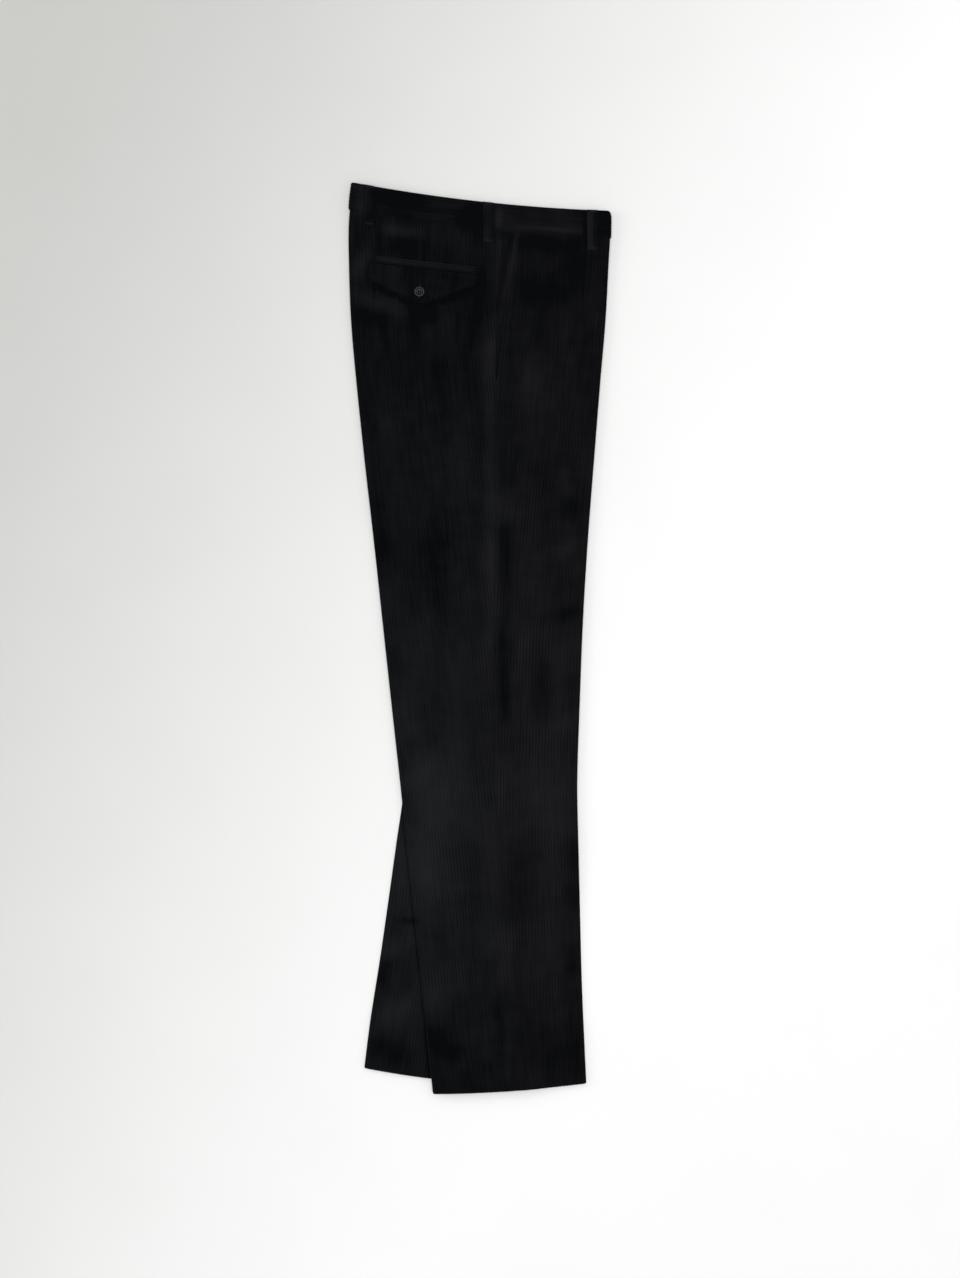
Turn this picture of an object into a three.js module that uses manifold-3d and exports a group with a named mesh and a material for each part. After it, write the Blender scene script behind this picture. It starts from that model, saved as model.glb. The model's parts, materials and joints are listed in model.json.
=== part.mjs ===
// Corduroy trousers laid on their side: the right leg on top, the left leg under it with its lower part
// swung back. Millimetres, +X towards the front of the garment, +Y towards the waist, +Z up off the surface.
// Until the last lines, x is measured from the leg's middle line and y is the height above the right hem.
import * as THREE from "three";
import Module from "manifold-3d";

// Cloth
const clothThickness = 1.5;
const walePitch = 3.78;
const waleHeight = 0.6;
const seamGap = 0.3;
const layGap = 0.45; // under and over what lies along a curved panel
const foldGap = 0.3; // between the two walls of a leg, at its pressed folds
const legLoft = 1.3; // how far the upper wall of the right leg stands off the lower one
const hemTurnUp = 74; // the cloth is double below this line
const hemThickness = 2.6;
const turnUpStep = 4; // half the height over which the doubled cloth ends
const seamAllowance = 9; // what turns in at the centre back and centre front seams
const coarseSpacing = 17; // between the columns of plain, hidden cloth
const seamSnap = 0.8; // a column nearer to a seam than this lies on it

// Where the cloth's height changes, as lengths over which it eases from one height to the next
const hemStackEnd = [118, 150]; // heights at which the doubled hem below has ended
const floorRoom = [12, 40]; // room beside the left leg for the right one to come down
const floorSlope = [18, 50]; // how it comes down, from the left leg's front fold
const loftEnd = [730, 800]; // heights at which the lofted leg closes towards the crotch
const foldShoulder = [5, 24]; // in from a fold
const sagShoulder = [8, 34]; // in from the ends of the inner wall
const waleExposure = [4, 8]; // out from under the right leg's back fold

// Waist
const bandHeight = 33;
const bandThickness = 3;
const bandWales = 8;
const bandRelief = 0.5;
const bandRuns = 14;
const bandLine = 1057; // height of the bands' middle line at the two folds
const bandLift = 2.25; // the panels rise this far to meet the bands, over the length of bandBlend
const bandBlend = 60;
const bandCorner = 5;
const bandEdge = { inset: 0.025, lower: 0.6, upper: 0.5 }; // rounding: depth, and shares of the thickness
const loopWidth = 13;
const loopLength = 48;
const loopThickness = 1.2;
const loopWales = 3;
const loopRelief = 0.4;
const loopEndShare = 0.45; // share of the thickness at its two ends
const loopStep = [-5, -1]; // from the leg up onto the band, in heights from the band's seam
const loopStations = {
  right: [0, 0.03, 0.35, 0.64, 0.72, 0.8, 0.97, 1],
  left: [0, 0.03, 0.97, 1],
};
const loops = [
  { name: "back", x: -132 },
  { name: "side", x: 10 },
  { name: "front", x: 135 },
];

// Crotch seam, in heights above the hem: where it leaves the outline, and the fork
const fork = 800;
const crotchTop = { back: 912, front: 880 };
const inseamShare = 0.55; // inseam and hidden side seam, from the back fold to the front one
const seatSag = 0.6;

// Front pocket mouth on the right leg, and the facing that shows in it
const mouth = { foot: 850, slant: 20 };
const facing = { thickness: 1, tuck: 9, underSeam: 5, recess: 0.7, shoulder: 2, opening: [3, 10] };

// Hip pocket on the right leg, in its own frame: origin at the middle of the flap's top edge
const pocket = { x: -67, y: 990.5, angle: THREE.MathUtils.degToRad(-6.2) };
const flap = {
  halfWidth: 66,
  backSide: 21.5,
  frontSide: 15,
  tip: 45,
  tipX: 2.5,
  tipRadius: 8,
  corner: 4,
  thickness: 1.6,
  waleHeight: 0.5,
  edgeShare: 0.5, // share of the thickness at its hanging edge
  edgeDepth: 0.97, // how far down it keeps its full thickness
  backStep: 6, // columns of its face to one of its plain back
};
const welt = { x: 2.5, halfWidth: 60.5, height: 6.6, thickness: 1.5, dome: 0.7, runs: 12, levels: 4 };
const button = {
  radius: 6.3,
  thickness: 2.6,
  rim: 1.5,
  dish: 0.7,
  x: -2,
  y: -30,
  holeRadius: 0.8,
  holeOffset: 1.6,
  facets: 24,
  holeFacets: 8,
};

// Outline of the right leg as it lies: height, and x of the back fold, side seam and front fold
const rightOutline = [
  { height: 0, back: -56, seam: 43, front: 128.5 },
  { height: 63, back: -62.5, seam: 39.5, front: 125.5 },
  { height: 135, back: -70, seam: 35, front: 122.5 },
  { height: 231, back: -80.3, seam: 30, front: 120 },
  { height: 303, back: -88, seam: 23, front: 118.2 },
  { height: 375, back: -95.6, seam: 18, front: 117 },
  { height: 471, back: -106.2, seam: 17.4, front: 120 },
  { height: 567, back: -116.6, seam: 18, front: 123.8 },
  { height: 663, back: -127, seam: 18.6, front: 129.6 },
  { height: 759, back: -138, seam: 19.2, front: 137 },
  { height: 855, back: -148, seam: 19.8, front: 144.7 },
  { height: 927, back: -154.2, seam: 20.4, front: 150.8 },
  { height: 999, back: -156.8, seam: 21.6, front: 154.7 },
  { height: 1047, back: -156.6, seam: 21.6, front: 157.3 },
  { height: 1090, back: -151.4, seam: 21.6, front: 157.5 },
];

// Outline of the left leg: under the right one down to the knee, then swung back
const leftOutline = [
  { height: 11, back: -140.8, front: 42 },
  { height: 87, back: -131.3, front: 53.5 },
  { height: 159, back: -120, front: 68.4 },
  { height: 231, back: -109.6, front: 83.6 },
  { height: 303, back: -99.6, front: 98.4 },
  { height: 345, back: -93.4, front: 105.5 },
  { height: 399, back: -86.6, front: 112 },
  { height: 471, back: -85.6, front: 116.6 },
  { height: 543, back: -92.4, front: 120 },
  { height: 639, back: -110.4, front: 126 },
  { height: 735, back: -129, front: 134.2 },
  { height: 807, back: -141.6, front: 140.3 },
  { height: 855, back: -148, front: 144.7 },
  { height: 927, back: -154.2, front: 150.8 },
  { height: 999, back: -156.8, front: 154.7 },
  { height: 1047, back: -156.6, front: 157.3 },
  { height: 1090, back: -151.4, front: 157.5 },
];

// The largest soft folds of the upper wall: middle, tilt from the leg's length, size and lift
const softFolds = [
  { x: -107, y: 1000, tilt: -56, length: 90, width: 16, lift: 0.7 },
  { x: -112, y: 940, tilt: -74, length: 80, width: 18, lift: 0.5 },
  { x: 27, y: 500, tilt: 2, length: 150, width: 11, lift: -0.8 },
  { x: 74, y: 470, tilt: 0, length: 120, width: 12, lift: -0.6 },
  { x: -52, y: 560, tilt: -5, length: 200, width: 14, lift: 0.5 },
  { x: 66, y: 250, tilt: -6, length: 150, width: 13, lift: -0.7 },
  { x: -20, y: 270, tilt: -4, length: 160, width: 12, lift: -0.6 },
];
const seamRidge = { width: 17, lift: 0.45 }; // over the pressed-open allowances of the side seam

// Edges across the leg, each a shallow bow through three points
const waistEdge = bow([{ x: -145, y: 1090.6 }, { x: 6, y: 1068.6 }, { x: 150, y: 1058.2 }]);
const hemEdge = {
  right: bow([{ x: -51.6, y: 0.3 }, { x: 36, y: 3.8 }, { x: 126, y: 12.1 }]),
  left: bow([{ x: -136.8, y: 30.5 }, { x: -58.8, y: 18.2 }, { x: 42, y: 11.3 }]),
};

// Stations along a leg, as heights on a leg of the nominal length
const nominalLength = 1040;
const legStations = [
  0, 1.6, 40, 70, 78, 140, 215, 280, 340, 430, 540, 660, 770,
  806, 832, 868, 912, 944, 976, 1008, 1040,
];
const hemRounding = 0.5; // share of the thickness at the very edge
const facingHeights = [mouth.foot - 6, 880, 915, 950, 985, 1010, nominalLength];

const cloth = { color: 0x15161a, roughness: 0.95 };
const innerCloth = { color: 0x101114, roughness: 0.95 };
const horn = { color: 0x1c1d20, roughness: 0.35 };

const { clamp, lerp } = THREE.MathUtils;

function bow([a, b, c]) {
  const first = (b.y - a.y) / (b.x - a.x);
  const second = ((c.y - b.y) / (c.x - b.x) - first) / (c.x - a.x);
  return (x) => a.y + first * (x - a.x) + second * (x - a.x) * (x - b.x);
}

function ease(x, from, to) {
  const t = clamp((x - from) / (to - from), 0, 1);
  return t * t * (3 - 2 * t);
}

// One named column of an outline table at a height, on a smooth curve through its rows.
function outlineAt(table, name, height) {
  const last = table.length - 1;
  const above = table.findIndex((row) => row.height > height);
  const i = clamp((above < 0 ? last : above) - 1, 0, last - 1);
  const slope = (k) => {
    const before = table[Math.max(0, k - 1)];
    const after = table[Math.min(last, k + 1)];
    return (after[name] - before[name]) / (after.height - before.height);
  };
  const low = table[i];
  const high = table[i + 1];
  const span = high.height - low.height;
  const t = (height - low.height) / span;
  if (t < 0) return low[name] + slope(i) * t * span;
  if (t > 1) return high[name] + slope(i + 1) * (t - 1) * span;
  const s = 1 - t;
  const values = low[name] * s * s * (1 + 2 * t) + high[name] * t * t * (1 + 2 * s);
  return values + span * t * s * (slope(i) * s - slope(i + 1) * t);
}

// Where things lie on the leg
const outlines = { right: rightOutline, left: leftOutline };
const upward = { right: 1, left: -1 }; // which way the outside of each leg's outer wall faces
const inwards = { back: 1, front: -1 }; // the way in from a fold along x
const edgeX = (leg, half, y) => outlineAt(outlines[leg], half, y);
const bandSeam = (x) => waistEdge(x) - bandHeight;
const inseam = (leg, y) => lerp(edgeX(leg, "back", y), edgeX(leg, "front", y), inseamShare);
const sideSeam = (leg, y) => (leg === "right" ? edgeX("right", "seam", y) : inseam("left", y));

function pocketMouth(y) {
  const share = (y - mouth.foot) / (bandSeam(sideSeam("right", y)) - mouth.foot);
  return sideSeam("right", y) + mouth.slant * Math.max(0, share);
}

// How far the outer and the inner wall of a half reach in from its fold.
function outerReach(leg, half, y) {
  const end = leg === "right" && half === "front" ? pocketMouth(y) : sideSeam(leg, y);
  return Math.abs(end - edgeX(leg, half, y)) - seamGap / 2;
}

function innerReach(leg, half, y) {
  const whole = Math.abs(inseam(leg, y) - edgeX(leg, half, y)) - seamGap / 2;
  const t = clamp((crotchTop[half] - y) / (crotchTop[half] - fork), 0, 1);
  return lerp(seamAllowance, whole, 1 - Math.sqrt(1 - t * t));
}

// Heights of the walls' middles
function wallAt(leg, x, y) {
  const above = y - hemEdge[leg](x) - hemTurnUp;
  return lerp(hemThickness, clothThickness, ease(above, -turnUpStep, turnUpStep));
}

const foldRadius = (leg, x, y) => (wallAt(leg, x, y) + foldGap) / 2;
const towardsBand = (x, y) => ease(y, bandSeam(x) - bandBlend, bandSeam(x));

// What the right leg lies on: the left leg, and the surface itself in front of the left leg's fold.
function underRight(x, y) {
  const hemStack = 2 * hemThickness + foldGap;
  const legStack = 2 * clothThickness + foldGap;
  const stack = lerp(hemStack, legStack, ease(y, ...hemStackEnd));
  const room = edgeX("right", "front", y) - edgeX("left", "front", y);
  const down = ease(room, ...floorRoom) * ease(x - edgeX("left", "front", y), ...floorSlope);
  return (stack + seamGap) * (1 - down);
}

function softFold(fold, x, y) {
  const turn = THREE.MathUtils.degToRad(fold.tilt);
  const dx = x - fold.x;
  const dy = y - fold.y;
  const along = dy * Math.cos(turn) - dx * Math.sin(turn);
  const across = dx * Math.cos(turn) + dy * Math.sin(turn);
  const fade = 1 - ease(Math.abs(along), fold.length * 0.2, fold.length * 0.55);
  return fold.lift * fade * Math.exp(-((across / fold.width) ** 2));
}

// Loft, soft folds, side seam and sag of the right leg's upper wall.
function rise(x, y) {
  const fromBack = x - edgeX("right", "back", y);
  const fromFront = edgeX("right", "front", y) - x;
  const free = Math.min(
    fromBack - innerReach("right", "back", y),
    fromFront - innerReach("right", "front", y),
  );
  const loft = legLoft * (1 - ease(y, ...loftEnd));
  const seam = seamRidge.lift * Math.exp(-(((x - sideSeam("right", y)) / seamRidge.width) ** 2));
  const folds = softFolds.reduce((sum, fold) => sum + softFold(fold, x, y), 0);
  const relief = loft + (1 - towardsBand(x, y)) * (folds + seam);
  const crown = ease(Math.min(fromBack, fromFront), ...foldShoulder);
  return crown * relief - seatSag * ease(free, ...sagShoulder);
}

function outerMid(leg, x, y) {
  const wall = wallAt(leg, x, y);
  const lift = bandLift * towardsBand(x, y);
  if (leg === "left") return wall / 2 + lift;
  return underRight(x, y) + wall / 2 + lift + 2 * foldRadius(leg, x, y) + rise(x, y);
}

function innerMid(leg, x, y) {
  const wall = wallAt(leg, x, y);
  const lift = bandLift * towardsBand(x, y);
  if (leg === "right") return underRight(x, y) + wall / 2 + lift;
  return wall / 2 + lift + 2 * foldRadius(leg, x, y);
}

// Height of what is sewn on the right leg: just clear of its wales.
const onRightLeg = (x, y) => outerMid("right", x, y) + clothThickness / 2 + waleHeight + layGap;

// A closed body from points and faces: points that coincide are joined and empty faces dropped.
function solid(points, faces) {
  const places = new Map();
  const positions = [];
  const index = points.map((point) => {
    const key = point.toArray().map((value) => Math.round(value * 1000)).join();
    if (!places.has(key)) {
      places.set(key, places.size);
      positions.push(...point.toArray());
    }
    return places.get(key);
  });
  const joined = faces
    .map((face) => face.map((corner) => index[corner]))
    .filter(([a, b, c]) => a !== b && b !== c && c !== a);
  const corner = (i) => new THREE.Vector3().fromArray(positions, 3 * i);
  const volume = joined.reduce((sum, [a, b, c]) => sum + corner(a).dot(corner(b).cross(corner(c))), 0);
  const outward = volume > 0 ? joined : joined.map(([a, b, c]) => [a, c, b]);
  const geometry = new THREE.BufferGeometry();
  geometry.setAttribute("position", new THREE.Float32BufferAttribute(positions, 3));
  geometry.setIndex(outward.flat());
  geometry.computeVertexNormals();
  return geometry;
}

// A closed wall from rows of points on its two faces. Each face has its own columns, and "along" says how
// far along the row each column is, so the rims can be filled between them.
function wallGeometry(rows, alongFace, alongBack) {
  const faceCount = alongFace.length;
  const backCount = alongBack.length;
  const last = rows.length - 1;
  const face = (r, i) => r * (faceCount + backCount) + i;
  const back = (r, i) => face(r, faceCount + i);
  const faces = [];
  const quad = (a, b, c, d) => faces.push([a, b, c], [a, c, d]);
  for (let r = 1; r <= last; r += 1) {
    const low = r - 1;
    for (let i = 1; i < faceCount; i += 1) quad(face(low, i - 1), face(low, i), face(r, i), face(r, i - 1));
    for (let i = 1; i < backCount; i += 1) quad(back(low, i), back(low, i - 1), back(r, i - 1), back(r, i));
    quad(back(low, 0), face(low, 0), face(r, 0), back(r, 0));
    const end = [faceCount - 1, backCount - 1];
    quad(face(low, end[0]), back(low, end[1]), back(r, end[1]), face(r, end[0]));
  }
  let i = 0;
  let j = 0;
  while (i < faceCount - 1 || j < backCount - 1) {
    const nextFace = i < faceCount - 1 ? alongFace[i + 1] : Infinity;
    const nextBack = j < backCount - 1 ? alongBack[j + 1] : Infinity;
    const onFace = nextFace <= nextBack;
    const rim = (r) => {
      if (onFace) return [face(r, i + 1), face(r, i), back(r, j)];
      return [back(r, j), back(r, j + 1), face(r, i)];
    };
    faces.push(rim(0), rim(last).reverse());
    if (onFace) i += 1;
    else j += 1;
  }
  return solid(rows.flatMap((row) => [...row.face, ...row.back]), faces);
}

function addMesh(group, name, geometry, finish) {
  const material = new THREE.MeshStandardMaterial({ ...finish, metalness: 0 });
  const mesh = new THREE.Mesh(geometry, material);
  mesh.name = name;
  group.add(mesh);
}

// Columns of a folded panel, from the side seam round the fold to the inseam. A run column has its
// distance in from the fold's outer edge, a fold column its angle up the fold.
const foldStart = clothThickness + foldGap / 2;
const widestHalf = 182;
const foldAngles = [60, 30, 0, -30, -60];
const leftWales = { back: 90, front: 0 }; // how far in from its fold the left leg can show

function runColumns(wall, waledTo) {
  const columns = [];
  let inset = foldStart;
  let crest = false;
  while (inset < widestHalf) {
    columns.push({ wall, inset, crest, along: wall === "outer" ? -inset : inset });
    crest = inset < waledTo && !crest;
    inset += inset < waledTo ? walePitch / 2 : coarseSpacing;
  }
  const end = wall === "outer" ? -widestHalf : widestHalf;
  columns.push({ wall, inset: widestHalf, crest: false, along: end });
  return wall === "outer" ? columns.reverse() : columns;
}

function panelColumns(outerWales, innerWales) {
  const fold = foldAngles.map((degrees) => {
    const angle = THREE.MathUtils.degToRad(degrees);
    return { wall: "fold", angle, along: -foldStart * Math.sin(angle) };
  });
  return [...runColumns("outer", outerWales), ...fold, ...runColumns("inner", innerWales)];
}

// A point of a folded panel, off the wall's middle towards its outside.
function panelPoint(leg, half, column, y, off) {
  const up = upward[leg];
  const way = inwards[half];
  const fold = edgeX(leg, half, y);
  const wall = wallAt(leg, fold, y);
  const radius = foldRadius(leg, fold, y);
  const start = wall / 2 + radius;
  if (column.wall === "fold") {
    const centre = fold + way * start;
    const reach = radius + off;
    const z = innerMid(leg, centre, y) + up * (radius + reach * Math.sin(column.angle));
    return new THREE.Vector3(centre - way * reach * Math.cos(column.angle), y, z);
  }
  const outer = column.wall === "outer";
  const reach = outer ? outerReach(leg, half, y) : innerReach(leg, half, y);
  const snap = reach - column.inset < seamSnap;
  const x = fold + way * (snap ? reach : Math.max(column.inset, start));
  const z = outer ? outerMid(leg, x, y) + up * off : innerMid(leg, x, y) - up * off;
  return new THREE.Vector3(x, y, z);
}

// Wales stand on the cloth that faces up: the right leg's upper wall, and what shows of the left leg.
function waleAt(leg, half, column, x, y) {
  const shows = leg === "right" ? 1 : ease(edgeX("right", "back", y) - x, ...waleExposure);
  const reach = leg === "right" ? outerReach(leg, half, y) : innerReach(leg, half, y);
  return column.crest && reach - column.inset >= seamSnap ? waleHeight * shows : 0;
}

function panelRow(leg, half, station, columns, outside) {
  const share = station === 0 ? hemRounding : 1;
  return columns.map((column) => {
    let x = edgeX(leg, half, station);
    let y = station;
    for (let pass = 0; pass < 4; pass += 1) {
      y = lerp(hemEdge[leg](x), bandSeam(x) - seamGap, station / nominalLength);
      x = panelPoint(leg, half, column, y, 0).x;
    }
    const wall = wallAt(leg, x, y) / 2;
    const off = outside ? wall + waleAt(leg, half, column, x, y) : -wall;
    return panelPoint(leg, half, column, y, off * share);
  });
}

function panelGeometry(leg, half) {
  const face = leg === "right" ? panelColumns(widestHalf, 0) : panelColumns(0, leftWales[half]);
  const back = panelColumns(0, 0);
  const rows = legStations.map((station) => ({
    face: panelRow(leg, half, station, face, true),
    back: panelRow(leg, half, station, back, false),
  }));
  const along = (columns) => columns.map((column) => column.along);
  return wallGeometry(rows, along(face), along(back));
}

// Half a waistband: round the centre back, along the waist and round the centre front.
function bandGeometry(leg) {
  const up = upward[leg];
  const foldX = edgeX("right", "back", bandLine);
  const midAt = (x) => outerMid(leg, x, bandSeam(x));
  const centreZ = (outerMid("right", foldX, bandLine) + outerMid("left", foldX, bandLine)) / 2;
  const radius = Math.abs(midAt(foldX) - centreZ);
  const start = radius + bandThickness / 2;
  const butt = Math.asin(seamGap / 2 / radius);
  const quarter = [butt, Math.PI / 6, Math.PI / 3]; // round the centre back and the centre front
  const stations = [
    ...quarter.map((angle) => ({ half: "back", angle })),
    ...Array.from({ length: bandRuns + 1 }, (_, i) => ({ share: i / bandRuns })),
    ...quarter.toReversed().map((angle) => ({ half: "front", angle })),
  ];

  const pointAt = (station, up01, off) => {
    const height = bandLine + (up01 - 0.5) * bandHeight;
    const fold = (half) => edgeX("right", half, height);
    let x = lerp(fold("back") + start, fold("front") - start, station.share);
    let z = midAt(x) + up * off;
    if (station.half) {
      x = fold(station.half) + inwards[station.half] * (start - (radius + off) * Math.cos(station.angle));
      z = centreZ + up * (radius + off) * Math.sin(station.angle);
    }
    const fromFront = clamp(fold("front") - x, 0, bandCorner);
    const drop = bandCorner - Math.sqrt(bandCorner ** 2 - (bandCorner - fromFront) ** 2);
    return new THREE.Vector3(x, lerp(bandSeam(x) + seamGap / 2, waistEdge(x) - drop, up01), z);
  };

  const low = [{ at: 0, share: bandEdge.lower }, { at: bandEdge.inset, share: 1 }];
  const high = [{ at: 1 - bandEdge.inset, share: 1 }, { at: 1, share: bandEdge.upper }];
  const face = [...low];
  const steps = 2 * bandWales;
  for (let i = 1; i < steps; i += 1) {
    const relief = leg === "right" && i % 2 === 1 ? bandRelief : 0;
    if (leg === "right" || i % 4 === 0) face.push({ at: i / steps, share: 1, relief });
  }
  face.push(...high);
  const back = [...low, { at: 0.5, share: 1 }, ...high];
  const half = bandThickness / 2;
  const rows = stations.map((station) => ({
    face: face.map((level) => pointAt(station, level.at, level.share * half + (level.relief ?? 0))),
    back: back.map((level) => pointAt(station, level.at, -level.share * half)),
  }));
  return wallGeometry(rows, face.map((level) => level.at), back.map((level) => level.at));
}

// A belt loop, from the waist's top edge to a little way below the band.
function loopGeometry(leg, loop) {
  const count = leg === "right" ? 2 * loopWales : 1;
  const stations = loopStations[leg];
  const floor = (x, y) => {
    if (leg === "left") return 0;
    const onBand = outerMid("right", x, bandSeam(x)) + bandThickness / 2 + bandRelief + seamGap;
    return lerp(onRightLeg(x, y), onBand, ease(y - bandSeam(x), ...loopStep));
  };
  const along = Array.from({ length: count + 1 }, (_, i) => i / count);
  const rows = stations.map((station) => {
    const atEnd = station === 0 || station === 1;
    const share = atEnd ? loopEndShare : 1;
    const point = (across, side, wale) => {
      const x = loop.x + loopWidth * (across - 0.5);
      const y = waistEdge(x) - loopLength * station;
      const off = (loopThickness / 2) * (1 + side * share) + (atEnd ? 0 : wale);
      return new THREE.Vector3(x, y, floor(x, y) + off);
    };
    return {
      face: along.map((across, i) => point(across, 1, i % 2 === 1 && count > 1 ? loopRelief : 0)),
      back: [0, 1].map((across) => point(across, -1, 0)),
    };
  });
  return wallGeometry(rows, along, [0, 1]);
}

// The facing behind the front pocket's mouth, a little below the cloth on each side of it.
function facingGeometry() {
  const along = [0, 1, 2, 3, 4, 5];
  const rows = facingHeights.map((height) => {
    const seam = sideSeam("right", height);
    const edge = pocketMouth(height);
    const open = ease(edge - seam, ...facing.opening);
    const inset = Math.min(facing.shoulder, (edge - seam) / 3);
    const across = [
      { x: seam - facing.underSeam, up: 0 },
      { x: seam - seamGap, up: 0 },
      { x: seam + inset, up: open },
      { x: edge - inset, up: open },
      { x: edge + seamGap, up: 0 },
      { x: edge + facing.tuck, up: 0 },
    ];
    const point = ({ x, up }, side) => {
      const y = Math.min(height, bandSeam(x) - 2 * seamGap);
      const below = clothThickness / 2 + layGap + facing.thickness / 2;
      const middle = outerMid("right", x, y) - below + facing.recess * up;
      return new THREE.Vector3(x, y, middle + (side * facing.thickness) / 2);
    };
    return { face: across.map((place) => point(place, 1)), back: across.map((place) => point(place, -1)) };
  });
  return wallGeometry(rows, along, along);
}

// A place on the hip pocket, from its own frame to the leg's, off the cloth by the given height.
function onPocket(across, up, off) {
  const x = pocket.x + across * Math.cos(pocket.angle) - up * Math.sin(pocket.angle);
  const y = pocket.y + across * Math.sin(pocket.angle) + up * Math.cos(pocket.angle);
  return new THREE.Vector3(x, y, onRightLeg(x, y) + off);
}

// How far the flap hangs down at each place across it: two slants to a rounded tip, rounded corners.
function flapDepth(across) {
  const front = across > flap.tipX;
  const side = front ? flap.frontSide : flap.backSide;
  const span = Math.abs((front ? flap.halfWidth : -flap.halfWidth) - flap.tipX);
  const from = Math.abs(across - flap.tipX);
  const softened = Math.sqrt(from ** 2 + flap.tipRadius ** 2) - flap.tipRadius;
  const toEnd = clamp(flap.halfWidth - Math.abs(across), 0, flap.corner);
  const round = flap.corner - Math.sqrt(flap.corner ** 2 - (flap.corner - toEnd) ** 2);
  return flap.tip - ((flap.tip - side) * softened) / (span - flap.tipRadius) - round;
}

function flapGeometry() {
  const count = Math.round((2 * flap.halfWidth) / walePitch) * 2;
  const along = Array.from({ length: count + 1 }, (_, i) => i);
  const alongBack = along.filter((i) => i % flap.backStep === 0 || i === 1 || i >= count - 1);
  const levels = [
    { down: 0, share: 1 },
    { down: 0.5, share: 1 },
    { down: flap.edgeDepth, share: 1 },
    { down: 1, share: flap.edgeShare },
  ];
  const rows = levels.map(({ down, share }) => {
    const point = (i, side) => {
      const across = lerp(-flap.halfWidth, flap.halfWidth, i / count);
      const half = (share * flap.thickness) / 2;
      const wale = side > 0 && i % 2 === 1 ? flap.waleHeight * share : 0;
      return onPocket(across, -down * flapDepth(across), flap.thickness / 2 + side * half + wale);
    };
    return { face: along.map((i) => point(i, 1)), back: alongBack.map((i) => point(i, -1)) };
  });
  return wallGeometry(rows, along, alongBack);
}

function weltGeometry() {
  const along = Array.from({ length: welt.runs + 1 }, (_, i) => i);
  const rows = Array.from({ length: welt.levels + 1 }, (_, level) => {
    const share = level / welt.levels;
    const point = (i, top) => {
      const across = welt.x + lerp(-welt.halfWidth, welt.halfWidth, i / welt.runs);
      const dome = welt.dome * Math.sin(Math.PI * share);
      return onPocket(across, seamGap + share * welt.height, top ? welt.thickness + dome : 0);
    };
    return { face: along.map((i) => point(i, true)), back: along.map((i) => point(i, false)) };
  });
  return wallGeometry(rows, along, along);
}

// The hip pocket's button: a dished disc with a rounded rim and four holes.
async function buttonGeometry() {
  const library = await Module();
  library.setup();
  const body = (geometry) => {
    const place = geometry.getAttribute("position");
    const at = (_, i) => new THREE.Vector3().fromBufferAttribute(place, i);
    const corners = Array.from(geometry.index.array);
    const face = (_, i) => corners.slice(3 * i, 3 * i + 3);
    const faces = Array.from({ length: corners.length / 3 }, face);
    const joined = solid(Array.from({ length: place.count }, at), faces);
    const vertProperties = Float32Array.from(joined.getAttribute("position").array);
    const triVerts = Uint32Array.from(joined.index.array);
    return new library.Manifold(new library.Mesh({ numProp: 3, vertProperties, triVerts }));
  };

  const { radius, thickness, rim, dish, holeRadius, holeOffset } = button;
  const profile = [
    { across: 0, up: 0 },
    { across: radius * 0.7, up: 0 },
    { across: radius * 0.94, up: thickness * 0.3 },
    { across: radius, up: thickness * 0.6 },
    { across: radius * 0.96, up: thickness * 0.88 },
    { across: radius * 0.88, up: thickness },
    { across: radius - rim, up: thickness * 0.94 },
    { across: radius - rim * 1.5, up: thickness - dish },
    { across: 0, up: thickness - dish },
  ];
  const turned = profile.map(({ across, up }) => new THREE.Vector2(across, up));
  let disc = body(new THREE.LatheGeometry(turned, button.facets).rotateX(Math.PI / 2));
  for (const degrees of [45, 135, 225, 315]) {
    const angle = THREE.MathUtils.degToRad(degrees);
    const hole = new THREE.CylinderGeometry(holeRadius, holeRadius, 3 * thickness, button.holeFacets);
    hole.rotateX(Math.PI / 2);
    hole.translate(holeOffset * Math.cos(angle), holeOffset * Math.sin(angle), 0);
    disc = disc.subtract(body(hole));
  }
  const made = disc.getMesh();
  const geometry = new THREE.BufferGeometry();
  geometry.setAttribute("position", new THREE.Float32BufferAttribute(made.vertProperties, 3));
  geometry.setIndex(Array.from(made.triVerts));
  geometry.computeVertexNormals();
  geometry.rotateZ(pocket.angle);
  const seat = onPocket(button.x, button.y, flap.thickness + flap.waleHeight + seamGap);
  return geometry.translate(seat.x, seat.y, seat.z);
}

const garment = new THREE.Group();
for (const leg of ["right", "left"]) {
  for (const half of ["back", "front"]) {
    addMesh(garment, `${leg}_${half}_panel`, panelGeometry(leg, half), cloth);
  }
  addMesh(garment, `waistband_${leg}`, bandGeometry(leg), cloth);
  for (const loop of loops) {
    addMesh(garment, `belt_loop_${leg}_${loop.name}`, loopGeometry(leg, loop), cloth);
  }
}
addMesh(garment, "pocket_facing", facingGeometry(), innerCloth);
addMesh(garment, "pocket_welt", weltGeometry(), cloth);
addMesh(garment, "pocket_flap", flapGeometry(), cloth);
addMesh(garment, "pocket_button", await buttonGeometry(), horn);

// The origin is under the middle of the whole, on the surface it lies on.
const box = new THREE.Box3().setFromObject(garment);
const middle = box.getCenter(new THREE.Vector3());
garment.position.set(-middle.x, -middle.y, -box.min.z);
const trousers = new THREE.Group();
trousers.add(garment);

export default trousers;
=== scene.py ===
import json
import math
import bmesh
import bpy
import numpy as np
from mathutils import Matrix, Vector

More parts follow.
